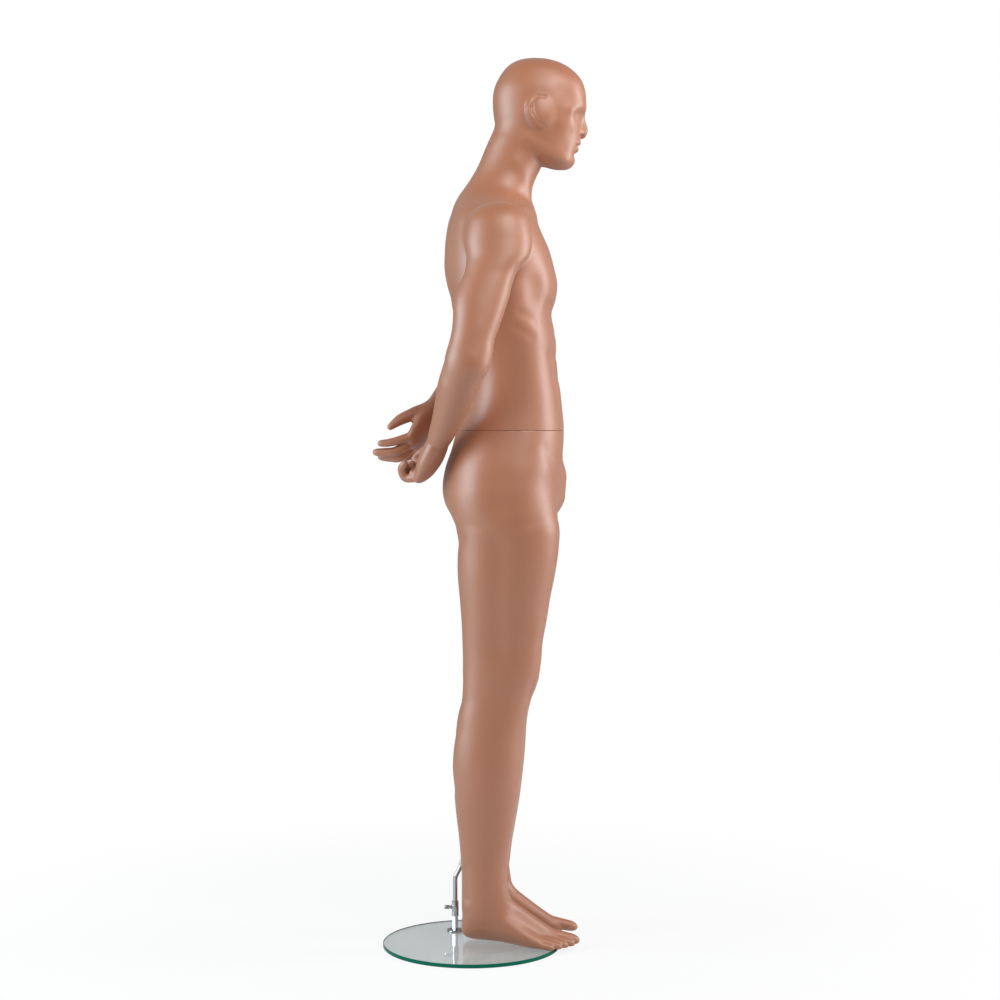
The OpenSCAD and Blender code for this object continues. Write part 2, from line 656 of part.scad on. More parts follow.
module torso_shell() {
    color(skin_colour) difference() {
        skin() difference() {
            figure() difference() {
                torso_form();
                translate([0, 0, waist_z + seam_gap / 2 / k]) slab(-far, 0);
                torso_hollow();
            }
            waist_prism(-far / 10, mouth, wall, true);
        }
        for (side = [right, left]) on_shoulder(side) {
            translate([0, 0, -seam_gap / 2 - plate_t]) cylinder(h = plate_t + cut, d = shoulder_plate_d);
            translate([0, 0, -2 * shoulder_stud_l])
                cylinder(h = 2 * shoulder_stud_l, d = shoulder_barrel_d);
            translate([0, 0, -seam_gap / 2]) screws(shoulder_screws, shoulder_circle_d, shoulder_screw_l);
        }
    }
}

module torso_waist_board() {
    color(wood_colour) difference() {
        waist_prism(plate_t, plate_t + board_t, wall + bedding, true);
        translate(waist_at) rotate([180, 0, 0]) screws(waist_screws, waist_circle_d, board_t);
    }
}

module waist_spigot() {
    color(steel_colour) translate(waist_at) difference() {
        plug(waist_plate_d, spigot_d, spigot_l);
        rotate([180, 0, 0]) screws(waist_screws, waist_circle_d, board_t);
    }
}

module waist_spigot_screws() {
    color(steel_colour) translate(waist_at) rotate([180, 0, 0])
        screws(waist_screws, waist_circle_d, board_t);
}

// Shoulder plane with its Z axis pointing out of the torso
module on_shoulder(side) {
    translate(in_figure([side * shoulder_x, shoulder_y, shoulder_z])) rotate([0, side * 90, 0]) children();
}

module shoulder_socket(side) {
    bore_l = shoulder_stud_l + tip_gap;
    barrel_l = bore_l + barrel_floor;
    color(steel_colour) on_shoulder(side) translate([0, 0, -seam_gap / 2]) difference() {
        union() {
            translate([0, 0, -plate_t]) cylinder(h = plate_t, d = shoulder_plate_d);
            translate([0, 0, -barrel_l]) cylinder(h = barrel_l, d = shoulder_barrel_d);
        }
        translate([0, 0, -bore_l]) cylinder(h = bore_l + cut, d = shoulder_stud_d + 2 * running);
        screws(shoulder_screws, shoulder_circle_d, shoulder_screw_l);
    }
}

module socket_screws(side) {
    color(steel_colour) on_shoulder(side) translate([0, 0, -seam_gap / 2])
        screws(shoulder_screws, shoulder_circle_d, shoulder_screw_l);
}

module shoulder_stud(side) {
    color(steel_colour) on_shoulder(side) translate([0, 0, seam_gap / 2]) difference() {
        plug(shoulder_plate_d, shoulder_stud_d, shoulder_stud_l);
        arm_screws();
    }
}

// Screws into the arm, between those into the torso
module arm_screws() {
    rotate([180, 0, 180 / shoulder_screws]) screws(shoulder_screws, shoulder_circle_d, shoulder_screw_l);
}

module stud_screws(side) {
    color(steel_colour) on_shoulder(side) translate([0, 0, seam_gap / 2]) arm_screws();
}

// Arms

function forearm(side) = side == right ? right_forearm : left_forearm;
function palm_way(side) = side == right ? right_palm : left_palm;
function point_way(side) = side == right ? right_point : left_point;
function fingers(side) = side == right ? right_fingers : left_fingers;
function palm_rows(side) = side == right ? right_palm_rows : left_palm_rows;
function thumb(side) = side == right ? right_thumb : left_thumb;
function wrist_seam(side) = let (path = forearm(side)) path[len(path) - 1];
function wrist_way(side) =
    let (path = forearm(side), last = len(path) - 1)
    unit(xyz(path[last]) - xyz(path[last - 1]));

// Wrist seam with its Z axis pointing into the hand
module on_wrist(side) {
    translate(in_figure(mirrored(xyz(wrist_seam(side)), side)))
        along(mirrored(wrist_way(side), side)) children();
}

module arm_form(side) {
    sided(side) {
        stack(arm_rows, limb_sides);
        tube(forearm(side), palm_way(side), foot_sides, 2);
    }
}

// Hollow of the arm, with its hole at the shoulder
module arm_hollow(side) {
    face_x = shoulder_x + (seam_gap / 2 + end_wall) / k;
    path = [for (i = [0:forearm_levels]) forearm(side)[i]];
    sided(side) {
        intersection() {
            stack([for (z = arm_levels) row_at(arm_rows, z)], hollow_sides, [], arm_wall);
            translate([face_x, -far / 2, 0]) cube(far);
        }
        tube(path, palm_way(side), hollow_sides, 1, arm_wall);
        translate([shoulder_x, shoulder_y, shoulder_z]) rotate([0, 90, 0])
            cylinder(h = face_x - shoulder_x + barrel_wall, d = shoulder_hole_d / k);
    }
}

module arm_shell(side) {
    color(skin_colour) difference() {
        skin() figure() difference() {
            arm_form(side);
            sided(side) translate([0, -far / 2, arm_cut_z])
                cube([shoulder_x + seam_gap / 2 / k, far, far]);
            arm_hollow(side);
        }
        on_shoulder(side) {
            translate([0, 0, -cut]) cylinder(h = cut + seam_gap / 2 + plate_t, d = shoulder_plate_d);
            translate([0, 0, seam_gap / 2]) arm_screws();
        }
        on_wrist(side) translate([0, 0, -wrist_barrel_l])
            cylinder(h = wrist_barrel_l + cut, d = wrist_plate_d);
    }
}

module wrist_socket(side) {
    color(steel_colour) on_wrist(side) difference() {
        translate([0, 0, -wrist_barrel_l]) cylinder(h = wrist_barrel_l, d = wrist_plate_d);
        translate([0, 0, -wrist_stud_l - tip_gap])
            cylinder(h = wrist_stud_l + tip_gap + cut, d = wrist_stud_d + 2 * running);
    }
}

module wrist_stud(side) {
    color(steel_colour) on_wrist(side) translate([0, 0, seam_gap]) union() {
        plug(wrist_plate_d, wrist_stud_d, wrist_stud_l);
        cylinder(h = wrist_root_l, d = wrist_stud_d);
    }
}

// Hands, in a frame of the palm's width, its length and the way it faces

module hand_form(side) {
    seam = wrist_seam(side);
    root = xyz(seam) + wrist_reach * wrist_way(side);
    point = point_way(side);
    face = palm_way(side);
    across = cross(face, point);
    palm = [for (p = palm_rows(side)) [each root + p.x * point, p.y, p.z]];
    tube(concat([seam, [each root, wrist_half.x, wrist_half.y]], palm), face, foot_sides, 2);
    for (finger = fingers(side)) {
        knuckle = root + finger.x * across + finger.y * point;
        bends = [finger[3], finger[3] + finger[4], finger[3] + finger[4] + finger[5]];
        bones = [for (i = [0:2])
            finger[2] * finger_bones[i] * (cos(bends[i]) * point + sin(bends[i]) * face)];
        r = finger_r * sqrt(finger[2]);
        places = [knuckle - finger_root * point, knuckle, knuckle + bones[0], knuckle + bones[0] + bones[1],
            knuckle + bones[0] + bones[1] + bones[2],
            knuckle + bones[0] + bones[1] + bones[2] + finger_nub * unit(bones[2])];
        tube([for (j = [0:len(places) - 1]) [each places[j], r * finger_taper[j], r * finger_taper[j]]],
            across, finger_sides);
    }
    tube([for (t = thumb(side)) [each root + t.x * across + t.y * point + t.z * face, t[3], t[3]]],
        unit(across + 2 * cross(point, across)), finger_sides, 2);
}

module hand(side) {
    color(skin_colour) difference() {
        skin() difference() {
            figure() sided(side) hand_form(side);
            on_wrist(side) slab(-2 * wrist_stud_l, seam_gap);
        }
        on_wrist(side) translate([0, 0, seam_gap - cut]) {
            cylinder(h = cut + plate_t, d = wrist_plate_d);
            cylinder(h = cut + wrist_root_l, d = wrist_stud_d);
        }
    }
}

glass_base();
bolt_bush();
base_bolt();
flange_gasket();
base_flange();
coupling_nut();
rod_socket();
wing_screw();
support_rod();
calf_sleeve();
lower_body_shell();
lower_waist_board();
waist_socket();
waist_socket_screws();
torso_shell();
torso_waist_board();
waist_spigot();
waist_spigot_screws();
shoulder_socket(right);  // right_shoulder_socket
shoulder_socket(left);  // left_shoulder_socket
socket_screws(right);  // right_socket_screws
socket_screws(left);  // left_socket_screws
shoulder_stud(right);  // right_shoulder_stud
shoulder_stud(left);  // left_shoulder_stud
stud_screws(right);  // right_stud_screws
stud_screws(left);  // left_stud_screws
arm_shell(right);  // right_arm_shell
arm_shell(left);  // left_arm_shell
wrist_socket(right);  // right_wrist_socket
wrist_socket(left);  // left_wrist_socket
wrist_stud(right);  // right_wrist_stud
wrist_stud(left);  // left_wrist_stud
hand(right);  // right_hand
hand(left);  // left_hand
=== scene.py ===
"""Full-body display mannequin on a round glass base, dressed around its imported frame.

The moulded shells are sculpted as signed distances on boxes of grid lines. Stacked sections, swept
tubes and balls are melted together, soft strokes raise or press their surface, and the zero surface
is skinned and cut at the seams. The stand, the boards and the fittings keep their solids.
Figure tables are in millimetres from the middle of the figure and the top of the glass.
"""

import logging
import math
from dataclasses import dataclass, field
from enum import Enum
from typing import Any, Optional, Protocol, Sequence, Union

import bpy
import numpy as np
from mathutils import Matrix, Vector


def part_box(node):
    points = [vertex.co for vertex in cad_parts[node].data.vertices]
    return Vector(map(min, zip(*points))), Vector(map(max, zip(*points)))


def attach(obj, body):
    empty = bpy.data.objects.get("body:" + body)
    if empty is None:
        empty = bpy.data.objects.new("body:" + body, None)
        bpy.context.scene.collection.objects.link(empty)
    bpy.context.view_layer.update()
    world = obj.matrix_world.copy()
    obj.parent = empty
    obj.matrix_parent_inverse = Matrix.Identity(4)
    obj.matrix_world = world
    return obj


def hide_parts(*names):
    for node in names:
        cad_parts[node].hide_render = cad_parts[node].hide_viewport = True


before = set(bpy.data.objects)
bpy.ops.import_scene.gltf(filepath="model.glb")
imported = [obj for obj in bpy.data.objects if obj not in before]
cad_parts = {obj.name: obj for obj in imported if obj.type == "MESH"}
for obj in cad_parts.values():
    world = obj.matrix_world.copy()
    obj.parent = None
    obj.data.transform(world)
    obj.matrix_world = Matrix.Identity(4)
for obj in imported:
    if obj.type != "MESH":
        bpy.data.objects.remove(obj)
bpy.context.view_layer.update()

LOG = logging.getLogger("mannequin")
MM = 0.001
FAR = 1000.0
TINY = 1e-3
CRISP = 1.0
DETAIL = 1.0
WHITE = (1.0, 1.0, 1.0, 1.0)
Array = np.ndarray
Point = tuple[float, float, float]
Rows = list[list[float]]
Span = tuple[float, float, float]


class Side(Enum):
    """Side of the figure, as the sign of its X axis."""

    RIGHT = -1
    LEFT = 1


class Face(Enum):
    """Face of a stacked form that a stroke is drawn on."""

    FRONT = "front"
    BACK = "back"
    OUTER = "outer"
    INNER = "inner"
    SPACE = "space"


# Sculpting


def unit(v: Sequence[float]) -> Array:
    """Direction of a vector, at length one."""
    v = np.asarray(v, float)
    return v / np.linalg.norm(v)


def melt(a: Array, b: Array, fillet: float) -> Array:
    """Joins two distances: the smaller one, less a parabola where they differ by less than a fillet.

    Args:
        a: Distances of the first form.
        b: Distances of the second form.
        fillet: Width of the soft join.

    Returns:
        Distances of the joined form.
    """
    share = np.clip(0.5 + 0.5 * (b - a) / fillet, 0.0, 1.0)
    return b + (a - b) * share - fillet * share * (1.0 - share)


def hermite(knots: Array, values: Array, at: Array) -> Array:
    """Cubic curves through knots, with the slope at each knot taken from its neighbours.

    Args:
        knots: Rising places of the knots.
        values: One row of values for each knot.
        at: Places to read.

    Returns:
        One row of values for each place.
    """
    slopes = np.gradient(values, knots, axis=0)
    i = np.clip(np.searchsorted(knots, at) - 1, 0, len(knots) - 2)
    step = (knots[i + 1] - knots[i])[:, None]
    t = np.clip((at - knots[i])[:, None] / step, 0.0, 1.0)
    rise = 3 * t**2 - 2 * t**3
    return (
        values[i] * (1 - rise) + values[i + 1] * rise
        + step * (slopes[i] * (t**3 - 2 * t**2 + t) + slopes[i + 1] * (t**3 - t**2))
    )


def grid_lines(*spans: Span) -> Array:
    """Grid lines through spans that follow each other, each with its own step.


    Returns:
        Rising places of the lines.
    """
    parts = [np.linspace(a, b, max(2, round((b - a) / (step * DETAIL)) + 1)) for a, b, step in spans]
    return np.unique(np.concatenate(parts)).astype(np.float32)


class Form(Protocol):
    """What the clay takes: a solid with a box and a distance from its surface."""

    def box(self) -> tuple[Array, Array]:
        """Lowest and highest corner."""

    def distance(self, x: Array, y: Array, z: Array) -> Array:
        """Distance from the surface, below zero inside."""


def turned_box(low: Array, high: Array, axes: Array, origin: Array) -> tuple[Array, Array]:
    """Upright box around a box given in a turned frame."""
    picks = np.array([[i, j, k] for i in (0, 1) for j in (0, 1) for k in (0, 1)])
    corners = np.where(picks, high, low) @ axes + origin
    return corners.min(axis=0), corners.max(axis=0)


@dataclass
class Loft:
    """Superellipse sections stacked along a direction.

    Each row is a level, the two edges across, the front, the back and the exponent. The distance of
    a point is its distance from the section's middle, less the reach of the superellipse that way.
    Squared half sizes are interpolated, so that an end which shrinks to nothing closes as a round cap.
    """

    rows: Rows
    origin: Sequence[float] = (0.0, 0.0, 0.0)
    axes: Optional[Array] = None
    soften: float = 6.0
    least_half: float = 0.5
    edge_share: float = 0.98

    def __post_init__(self) -> None:
        """Works out fine tables of middle, squared half size and exponent along the stack."""
        rows = np.asarray(self.rows, float)
        low, high, front, back = rows[:, 1], rows[:, 2], rows[:, 3], rows[:, 4]
        table = np.stack(
            [(low + high) / 2, (front + back) / 2, ((high - low) / 2) ** 2,
             ((back - front) / 2) ** 2, rows[:, 5]], axis=1)
        self.levels = np.arange(rows[0, 0], rows[-1, 0] + 0.5, 1.0)
        fine = hermite(rows[:, 0], table, self.levels)
        taps = np.arange(-3 * self.soften, 3 * self.soften + 1)
        bell = np.exp(-((taps / self.soften) ** 2))
        padded = np.pad(fine, ((len(taps) // 2,) * 2, (0, 0)), mode="reflect", reflect_type="odd")
        self.table = np.stack(
            [np.convolve(column, bell / bell.sum(), mode="valid") for column in padded.T])

    def box(self) -> tuple[Array, Array]:
        """Lowest and highest corner."""
        rows = np.asarray(self.rows, float)
        low = np.array([rows[:, 1].min(), rows[:, 3].min(), rows[0, 0]])
        high = np.array([rows[:, 2].max(), rows[:, 4].max(), rows[-1, 0]])
        axes = np.eye(3) if self.axes is None else self.axes
        return turned_box(low, high, axes, np.asarray(self.origin, float))

    def sizes(self, level: Array) -> list[Array]:
        """Middle across, middle in depth, half width, half depth and exponent at a level."""
        columns = [np.interp(level, self.levels, c).astype(np.float32) for c in self.table]
        halves = [np.sqrt(np.maximum(c, self.least_half**2)) for c in columns[2:4]]
        return columns[:2] + halves + columns[4:]

    def distance(self, x: Array, y: Array, z: Array) -> Array:
        """Distance from the surface, below zero inside."""
        u, v, w = x, y, z
        if self.axes is not None:
            ox, oy, oz = self.origin
            u, v, w = [(a * (x - ox) + b * (y - oy) + c * (z - oz)) for a, b, c in self.axes]
        middle_u, middle_v, half_u, half_v, power = self.sizes(w)
        du = np.abs(u - middle_u)
        dv = np.abs(v - middle_v)
        radius = np.sqrt(du * du + dv * dv) + TINY
        ratio = ((du / half_u) ** power + (dv / half_v) ** power) ** (1.0 / power)
        side = radius - radius / np.maximum(ratio, TINY)
        return np.maximum(side, np.maximum(w - self.levels[-1], self.levels[0] - w))

    def mark(self, face: Face, place: float, level: float) -> Array:
        """Point of the upright surface on a face, at a place across it and a level.

        Args:
            face: Face of the form.
            place: X on the front or the back, or Y on the outer or the inner face.
            level: Height.

        Returns:
            The point.
        """
        middle_u, middle_v, half_u, half_v, power = [float(c) for c in self.sizes(np.float64(level))]
        if face in (Face.FRONT, Face.BACK):
            share = min(abs(place - middle_u) / half_u, self.edge_share)
            depth = half_v * (1 - share**power) ** (1 / power)
            return np.array([place, middle_v + (depth if face is Face.BACK else -depth), level])
        share = min(abs(place - middle_v) / half_v, self.edge_share)
        width = half_u * (1 - share**power) ** (1 / power)
        return np.array([middle_u + (width if face is Face.OUTER else -width), place, level])


@dataclass
class Sweep:
    """Elliptical sections carried along a smooth path of stations.

    Each row is a point, the wide radius and the thin radius. The distance is that of the nearest
    stretch: the elliptical radius of the point about the stretch, less one, at the section's scale.
    """

    path: Rows
    face: Sequence[float]
    steps: int = 2
    soft: float = 1.0

    def __post_init__(self) -> None:
        """Resamples the path."""
        rows = np.asarray(self.path, float)
        knots = np.arange(len(rows), dtype=float)
        last = len(rows) - 1
        self.stations = hermite(knots, rows, np.linspace(0, last, last * self.steps + 1))

    def box(self) -> tuple[Array, Array]:
        """Lowest and highest corner."""
        reach = self.stations[:, 3:5].max()
        points = self.stations[:, :3]
        return points.min(axis=0) - reach, points.max(axis=0) + reach

    def distance(self, x: Array, y: Array, z: Array) -> Array:
        """Distance from the surface, below zero inside."""
        total = None
        for a, b in zip(self.stations[:-1], self.stations[1:]):
            run = b[:3] - a[:3]
            length = np.linalg.norm(run)
            along = run / length
            wide = unit(np.cross(self.face, along))
            thin = np.cross(along, wide)
            dx, dy, dz = x - a[0], y - a[1], z - a[2]
            t = np.clip((dx * along[0] + dy * along[1] + dz * along[2]) / length, 0.0, 1.0)
            r_wide = a[3] + t * (b[3] - a[3])
            r_thin = a[4] + t * (b[4] - a[4])
            dx, dy, dz = dx - t * run[0], dy - t * run[1], dz - t * run[2]
            over = [(dx * v[0] + dy * v[1] + dz * v[2]) / r
                    for v, r in ((wide, r_wide), (thin, r_thin), (along, r_thin))]
            ratio = np.sqrt(over[0] ** 2 + over[1] ** 2 + over[2] ** 2)
            stretch = (ratio - 1.0) * np.sqrt(r_wide * r_thin)
            total = stretch if total is None else melt(total, stretch, self.soft)
        return total


@dataclass
class Ball:
    """Ellipsoid, whose distance is the elliptical radius less one, at the scale of the point."""

    centre: Sequence[float]
    radii: Sequence[float]
    axes: Array = field(default_factory=lambda: np.eye(3))

    def box(self) -> tuple[Array, Array]:
        """Lowest and highest corner."""
        radii = np.asarray(self.radii, float)
        return turned_box(-radii, radii, self.axes, np.asarray(self.centre, float))

    def distance(self, x: Array, y: Array, z: Array) -> Array:
        """Distance from the surface, below zero inside."""
        dx, dy, dz = x - self.centre[0], y - self.centre[1], z - self.centre[2]
        over = [(dx * a[0] + dy * a[1] + dz * a[2]) / r for a, r in zip(self.axes, self.radii)]
        ratio = np.sqrt(over[0] ** 2 + over[1] ** 2 + over[2] ** 2)
        radius = np.sqrt(dx * dx + dy * dy + dz * dz)
        return radius - radius / np.maximum(ratio, TINY)


@dataclass(frozen=True)
class Stroke:
    """Soft ridge along a run of marks, or a groove where its lift is below zero.

    The surface moves by the lift times a bell curve of the distance from the run.
    Marks are a place and a level on a face of a form, or points in space.
    """

    lift: float
    width: float
    face: Face
    marks: Sequence[Sequence[float]]
    both: bool


def drawn(face: Face, *rows: tuple) -> list[Stroke]:
    """Strokes on one face.

    Args:
        face: The face.
        rows: Lift, width and marks of each stroke.

    Returns:
        The strokes, on both sides unless all marks are on the middle line.
    """
    return [Stroke(lift, width, face, marks, any(mark[0] for mark in marks))
            for lift, width, *marks in rows]


class Clay:
    """Signed distances of a form on a box of grid lines."""

    margin = 12.0
    stroke_reach = 2.6
    probe = 0.8
    least_slope = 0.05
    longest_move = 2.0

    def __init__(self, xs: Array, ys: Array, zs: Array) -> None:
        """Starts with empty space on the lines of three axes."""
        self.lines = (xs, ys, zs)
        self.depth = np.full([len(line) for line in self.lines], FAR, dtype=np.float32)

    def block(self, low: Array, high: Array) -> tuple[tuple[slice, ...], list[Array]]:
        """Grid lines inside a box.

        Args:
            low: Lowest corner.
            high: Highest corner.

        Returns:
            The index range on each axis, and the coordinates shaped to spread over the block.
        """
        spans = tuple(slice(*np.searchsorted(line, (a, b))) for line, a, b in zip(self.lines, low, high))
        shapes = ((-1, 1, 1), (1, -1, 1), (1, 1, -1))
        return spans, [line[s].reshape(shape) for line, s, shape in zip(self.lines, spans, shapes)]

    def add(self, form: Form, fillet: float, side: Side = Side.LEFT, above: float = -FAR) -> None:
        """Melts a form into the clay.

        Args:
            form: Form, given on the figure's left.
            fillet: Width of the soft join.
            side: Side of the figure that gets it.
            above: Height below which the grid doesn't change.
        """
        a, b = form.box()
        if side is Side.RIGHT:
            a, b = np.array([-b[0], a[1], a[2]]), np.array([-a[0], b[1], b[2]])
        reach = fillet + self.margin
        spans, (x, y, z) = self.block(np.maximum(a - reach, (-FAR, -FAR, above)), b + reach)
        if min(s.stop - s.start for s in spans) > 0:
            new = form.distance(side.value * x, y, z)
            self.depth[spans] = melt(self.depth[spans], new, fillet)

    def draw(self, stroke: Stroke, form: Optional[Loft] = None, side: Side = Side.LEFT) -> None:
        """Draws a stroke on one side of the figure."""
        marks = np.array([m if stroke.face is Face.SPACE else form.mark(stroke.face, *m)
                          for m in stroke.marks], float)
        marks[:, 0] *= side.value
        reach = self.stroke_reach * stroke.width
        spans, (x, y, z) = self.block(marks.min(axis=0) - reach, marks.max(axis=0) + reach)
        nearest = None
        for a, b in zip(marks, marks[1:] if len(marks) > 1 else marks):
            run = b - a
            t = ((x - a[0]) * run[0] + (y - a[1]) * run[1] + (z - a[2]) * run[2]) / max(run @ run, 1e-9)
            t = np.clip(t, 0.0, 1.0)
            gap = ((x - a[0] - t * run[0]) ** 2 + (y - a[1] - t * run[1]) ** 2
                   + (z - a[2] - t * run[2]) ** 2)
            nearest = gap if nearest is None else np.minimum(nearest, gap)
        self.depth[spans] -= stroke.lift * np.exp(-nearest / stroke.width**2)

    def draw_all(self, strokes: Sequence[Stroke], form: Optional[Loft] = None,
                 sides: Sequence[Side] = (Side.LEFT, Side.RIGHT)) -> None:
        """Draws strokes on each side, and those that run along the middle once."""
        for stroke in strokes:
            for side in sides if stroke.both else sides[:1]:
                self.draw(stroke, form, side)

    def read(self, points: Array) -> Array:
        """Distances at points, from the eight grid corners around each."""
        index, share = [], []
        for line, p in zip(self.lines, points.T):
            i = np.clip(np.searchsorted(line, p) - 1, 0, len(line) - 2)
            index.append(i)
            share.append(np.clip((p - line[i]) / (line[i + 1] - line[i]), 0.0, 1.0))
        total = np.zeros(len(points))
        for corner in np.ndindex(2, 2, 2):
            weight = np.ones(len(points))
            for s, c in zip(share, corner):
                weight = weight * (s if c else 1 - s)
            total += weight * self.depth[tuple(i + c for i, c in zip(index, corner))]
        return total

    def skin(self, passes: int = 2) -> "Skin":
        """Skins the zero surface: one point in each grid cell that it crosses, one quad around each
        crossed edge. The points are evened out and set back on the surface along its slope.

        Args:
            passes: Times that the points are evened out.

        Returns:
            The closed skin.
        """
        for axis in range(3):
            edge = np.moveaxis(self.depth, axis, 0)
            edge[0] = np.maximum(edge[0], 1.0)
            edge[-1] = np.maximum(edge[-1], 1.0)
        inside = self.depth < 0
        cells = np.array(self.depth.shape) - 1
        around, places = [], []
        for axis in range(3):
            near = tuple(slice(0, -1) if a == axis else slice(None) for a in range(3))
            far = tuple(slice(1, None) if a == axis else slice(None) for a in range(3))
            at = np.argwhere(inside[near] != inside[far])
            step = np.eye(3, dtype=int)
            ends = at + step[axis]
            v0 = self.depth[tuple(at.T)]
            v1 = self.depth[tuple(ends.T)]
            place = np.stack([line[i] for line, i in zip(self.lines, at.T)], axis=1).astype(float)
            run = self.lines[axis][ends[:, axis]] - self.lines[axis][at[:, axis]]
            place[:, axis] += v0 / (v0 - v1) * run
            b, c = step[(axis + 1) % 3], step[(axis + 2) % 3]
            ring = np.stack([at, at - b, at - b - c, at - c], axis=1)
            ring[v0 > 0] = ring[v0 > 0][:, ::-1]
            around.append(np.ravel_multi_index(np.moveaxis(ring, 2, 0), cells))
            places.append(np.repeat(place[:, None, :], 4, axis=1))
        around = np.concatenate(around)
        places = np.concatenate(places).reshape(-1, 3)
        flat = np.unique(around.ravel(), return_inverse=True)[1]
        count = np.bincount(flat)
        points = np.stack([np.bincount(flat, weights=w) for w in places.T], axis=1) / count[:, None]
        quads = flat.reshape(-1, 4)
        for _ in range(passes):
            points = self.settle(relaxed(points, quads))
        return Skin(points, split(points, quads))

    def settle(self, points: Array) -> Array:
        """Moves points to the zero surface along its slope."""
        reach = self.probe
        for _ in range(2):
            slope = np.stack(
                [self.read(points + reach * e) - self.read(points - reach * e) for e in np.eye(3)],
                axis=1) / (2 * reach)
            size = np.maximum((slope**2).sum(axis=1), self.least_slope)
            move = (self.read(points) / size)[:, None] * slope
            length = np.linalg.norm(move, axis=1, keepdims=True)
            points = points - move * np.minimum(1.0, self.longest_move / np.maximum(length, TINY**2))
        return points


def relaxed(points: Array, quads: Array, share: float = 0.5) -> Array:
    """Moves each point part of the way to the middle of its neighbours along the quads' edges."""
    ends = np.concatenate([quads[:, [i, (i + 1) % 4]] for i in range(4)])
    ends = np.concatenate([ends, ends[:, ::-1]])
    count = np.bincount(ends[:, 0], minlength=len(points))
    total = np.stack(
        [np.bincount(ends[:, 0], weights=w, minlength=len(points)) for w in points[ends[:, 1]].T], axis=1)
    return points + share * (total / np.maximum(count, 1)[:, None] - points)


def split(points: Array, quads: Array) -> Array:
    """Splits quads along their shorter diagonal into triangles."""
    first = np.linalg.norm(points[quads[:, 0]] - points[quads[:, 2]], axis=1)
    second = np.linalg.norm(points[quads[:, 1]] - points[quads[:, 3]], axis=1)
    order = np.where((first <= second)[:, None], quads, np.roll(quads, -1, axis=1))
    return np.concatenate([order[:, [0, 1, 2]], order[:, [0, 2, 3]]])


@dataclass
class Skin:
    """Triangles of a moulded shell, in figure millimetres."""

    points: Array
    triangles: Array

    def cut(self, place: Sequence[float], away: Sequence[float], lip: Sequence[tuple[float, float]],
            above: float = -FAR) -> None:
        """Takes off what lies past a plane and turns the cut edge in along a lip.

        The lip is a profile of steps, each an inset towards the middle of the cut and a distance past
        the plane, carried round the cut edge. A flat cap closes it.

        Args:
            place: Point of the plane.
            away: Direction of what is taken off.
            lip: Profile of the lip.
            above: Height below which nothing is cut.
        """
        away = unit(away)
        height = (self.points - np.asarray(place, float)) @ away
        height[self.points[:, 2] < above] = -FAR
        kept = height < 0
        tri = self.triangles
        inside = kept[tri].sum(axis=1)
        tip, base = self.rolled(tri[inside == 1], kept), self.rolled(tri[inside == 2], ~kept)
        pairs = np.concatenate([tip[:, [0, 1]], tip[:, [0, 2]], base[:, [0, 1]], base[:, [0, 2]]])
        pairs.sort(axis=1)
        edges, flat = np.unique(pairs, axis=0, return_inverse=True)
        flat = flat.ravel() + len(self.points)
        h0, h1 = height[edges[:, 0]], height[edges[:, 1]]
        share = (h0 / (h0 - h1))[:, None]
        fresh = self.points[edges[:, 0]] * (1 - share) + self.points[edges[:, 1]] * share
        a, b = len(tip), len(base)
        tip_b, tip_c, base_b, base_c = np.split(flat, [a, 2 * a, 2 * a + b])
        self.triangles = np.concatenate([
            tri[inside == 3], np.stack([tip[:, 0], tip_b, tip_c], axis=1),
            np.stack([base_b, base[:, 1], base[:, 2]], axis=1),
            np.stack([base_b, base[:, 2], base_c], axis=1)])
        first = len(self.points)
        self.points = np.concatenate([self.points, fresh])
        rim = np.concatenate([np.stack([tip_b, tip_c], axis=1), np.stack([base_c, base_b], axis=1)])
        self.turn_in(rim - first, first, len(fresh), away, lip)
        self.drop_loose()

    @staticmethod
    def rolled(tri: Array, odd: Array) -> Array:
        """Triangles turned so that their one odd corner comes first."""
        start = np.argmax(odd[tri], axis=1)[:, None]
        return np.take_along_axis(tri, (start + np.arange(3)) % 3, axis=1)

    def turn_in(self, rim: Array, first: int, count: int, away: Array,
                lip: Sequence[tuple[float, float]]) -> None:
        """Carries a lip round a cut edge and caps it.

        Args:
            rim: Edges of the cut, as places in its ring of points.
            first: Number of the ring's first point.
            count: Points in the ring.
            away: Direction past the plane.
            lip: Inset and distance past the plane of each step.
        """
        ring = self.points[first:first + count]
        middle = ring.mean(axis=0)
        inward = middle - ring
        inward = inward / np.linalg.norm(inward, axis=1, keepdims=True)
        rings = [ring + inset * inward + past * away for inset, past in lip]
        starts = [first] + [len(self.points) + i * count for i in range(len(lip))]
        walls = []
        for near, far in zip(starts[:-1], starts[1:]):
            a, b, c, d = rim[:, 1] + near, rim[:, 0] + near, rim[:, 0] + far, rim[:, 1] + far
            walls += [np.stack([a, b, c], axis=1), np.stack([a, c, d], axis=1)]
        hub = len(self.points) + len(lip) * count
        cap = np.stack([rim[:, 1] + starts[-1], rim[:, 0] + starts[-1], np.full(len(rim), hub)], axis=1)
        centre = rings[-1].mean(axis=0)[None, :]
        self.points = np.concatenate([self.points, *rings, centre])
        self.triangles = np.concatenate([self.triangles, *walls, cap])

    def drop_loose(self) -> None:
        """Drops points that no triangle uses."""
        used, flat = np.unique(self.triangles.ravel(), return_inverse=True)
        self.points = self.points[used]
        self.triangles = flat.reshape(-1, 3)

    def mirrored(self) -> "Skin":
        """The same skin on the other side of the figure."""
        return Skin(self.points * [-1, 1, 1], self.triangles[:, ::-1])


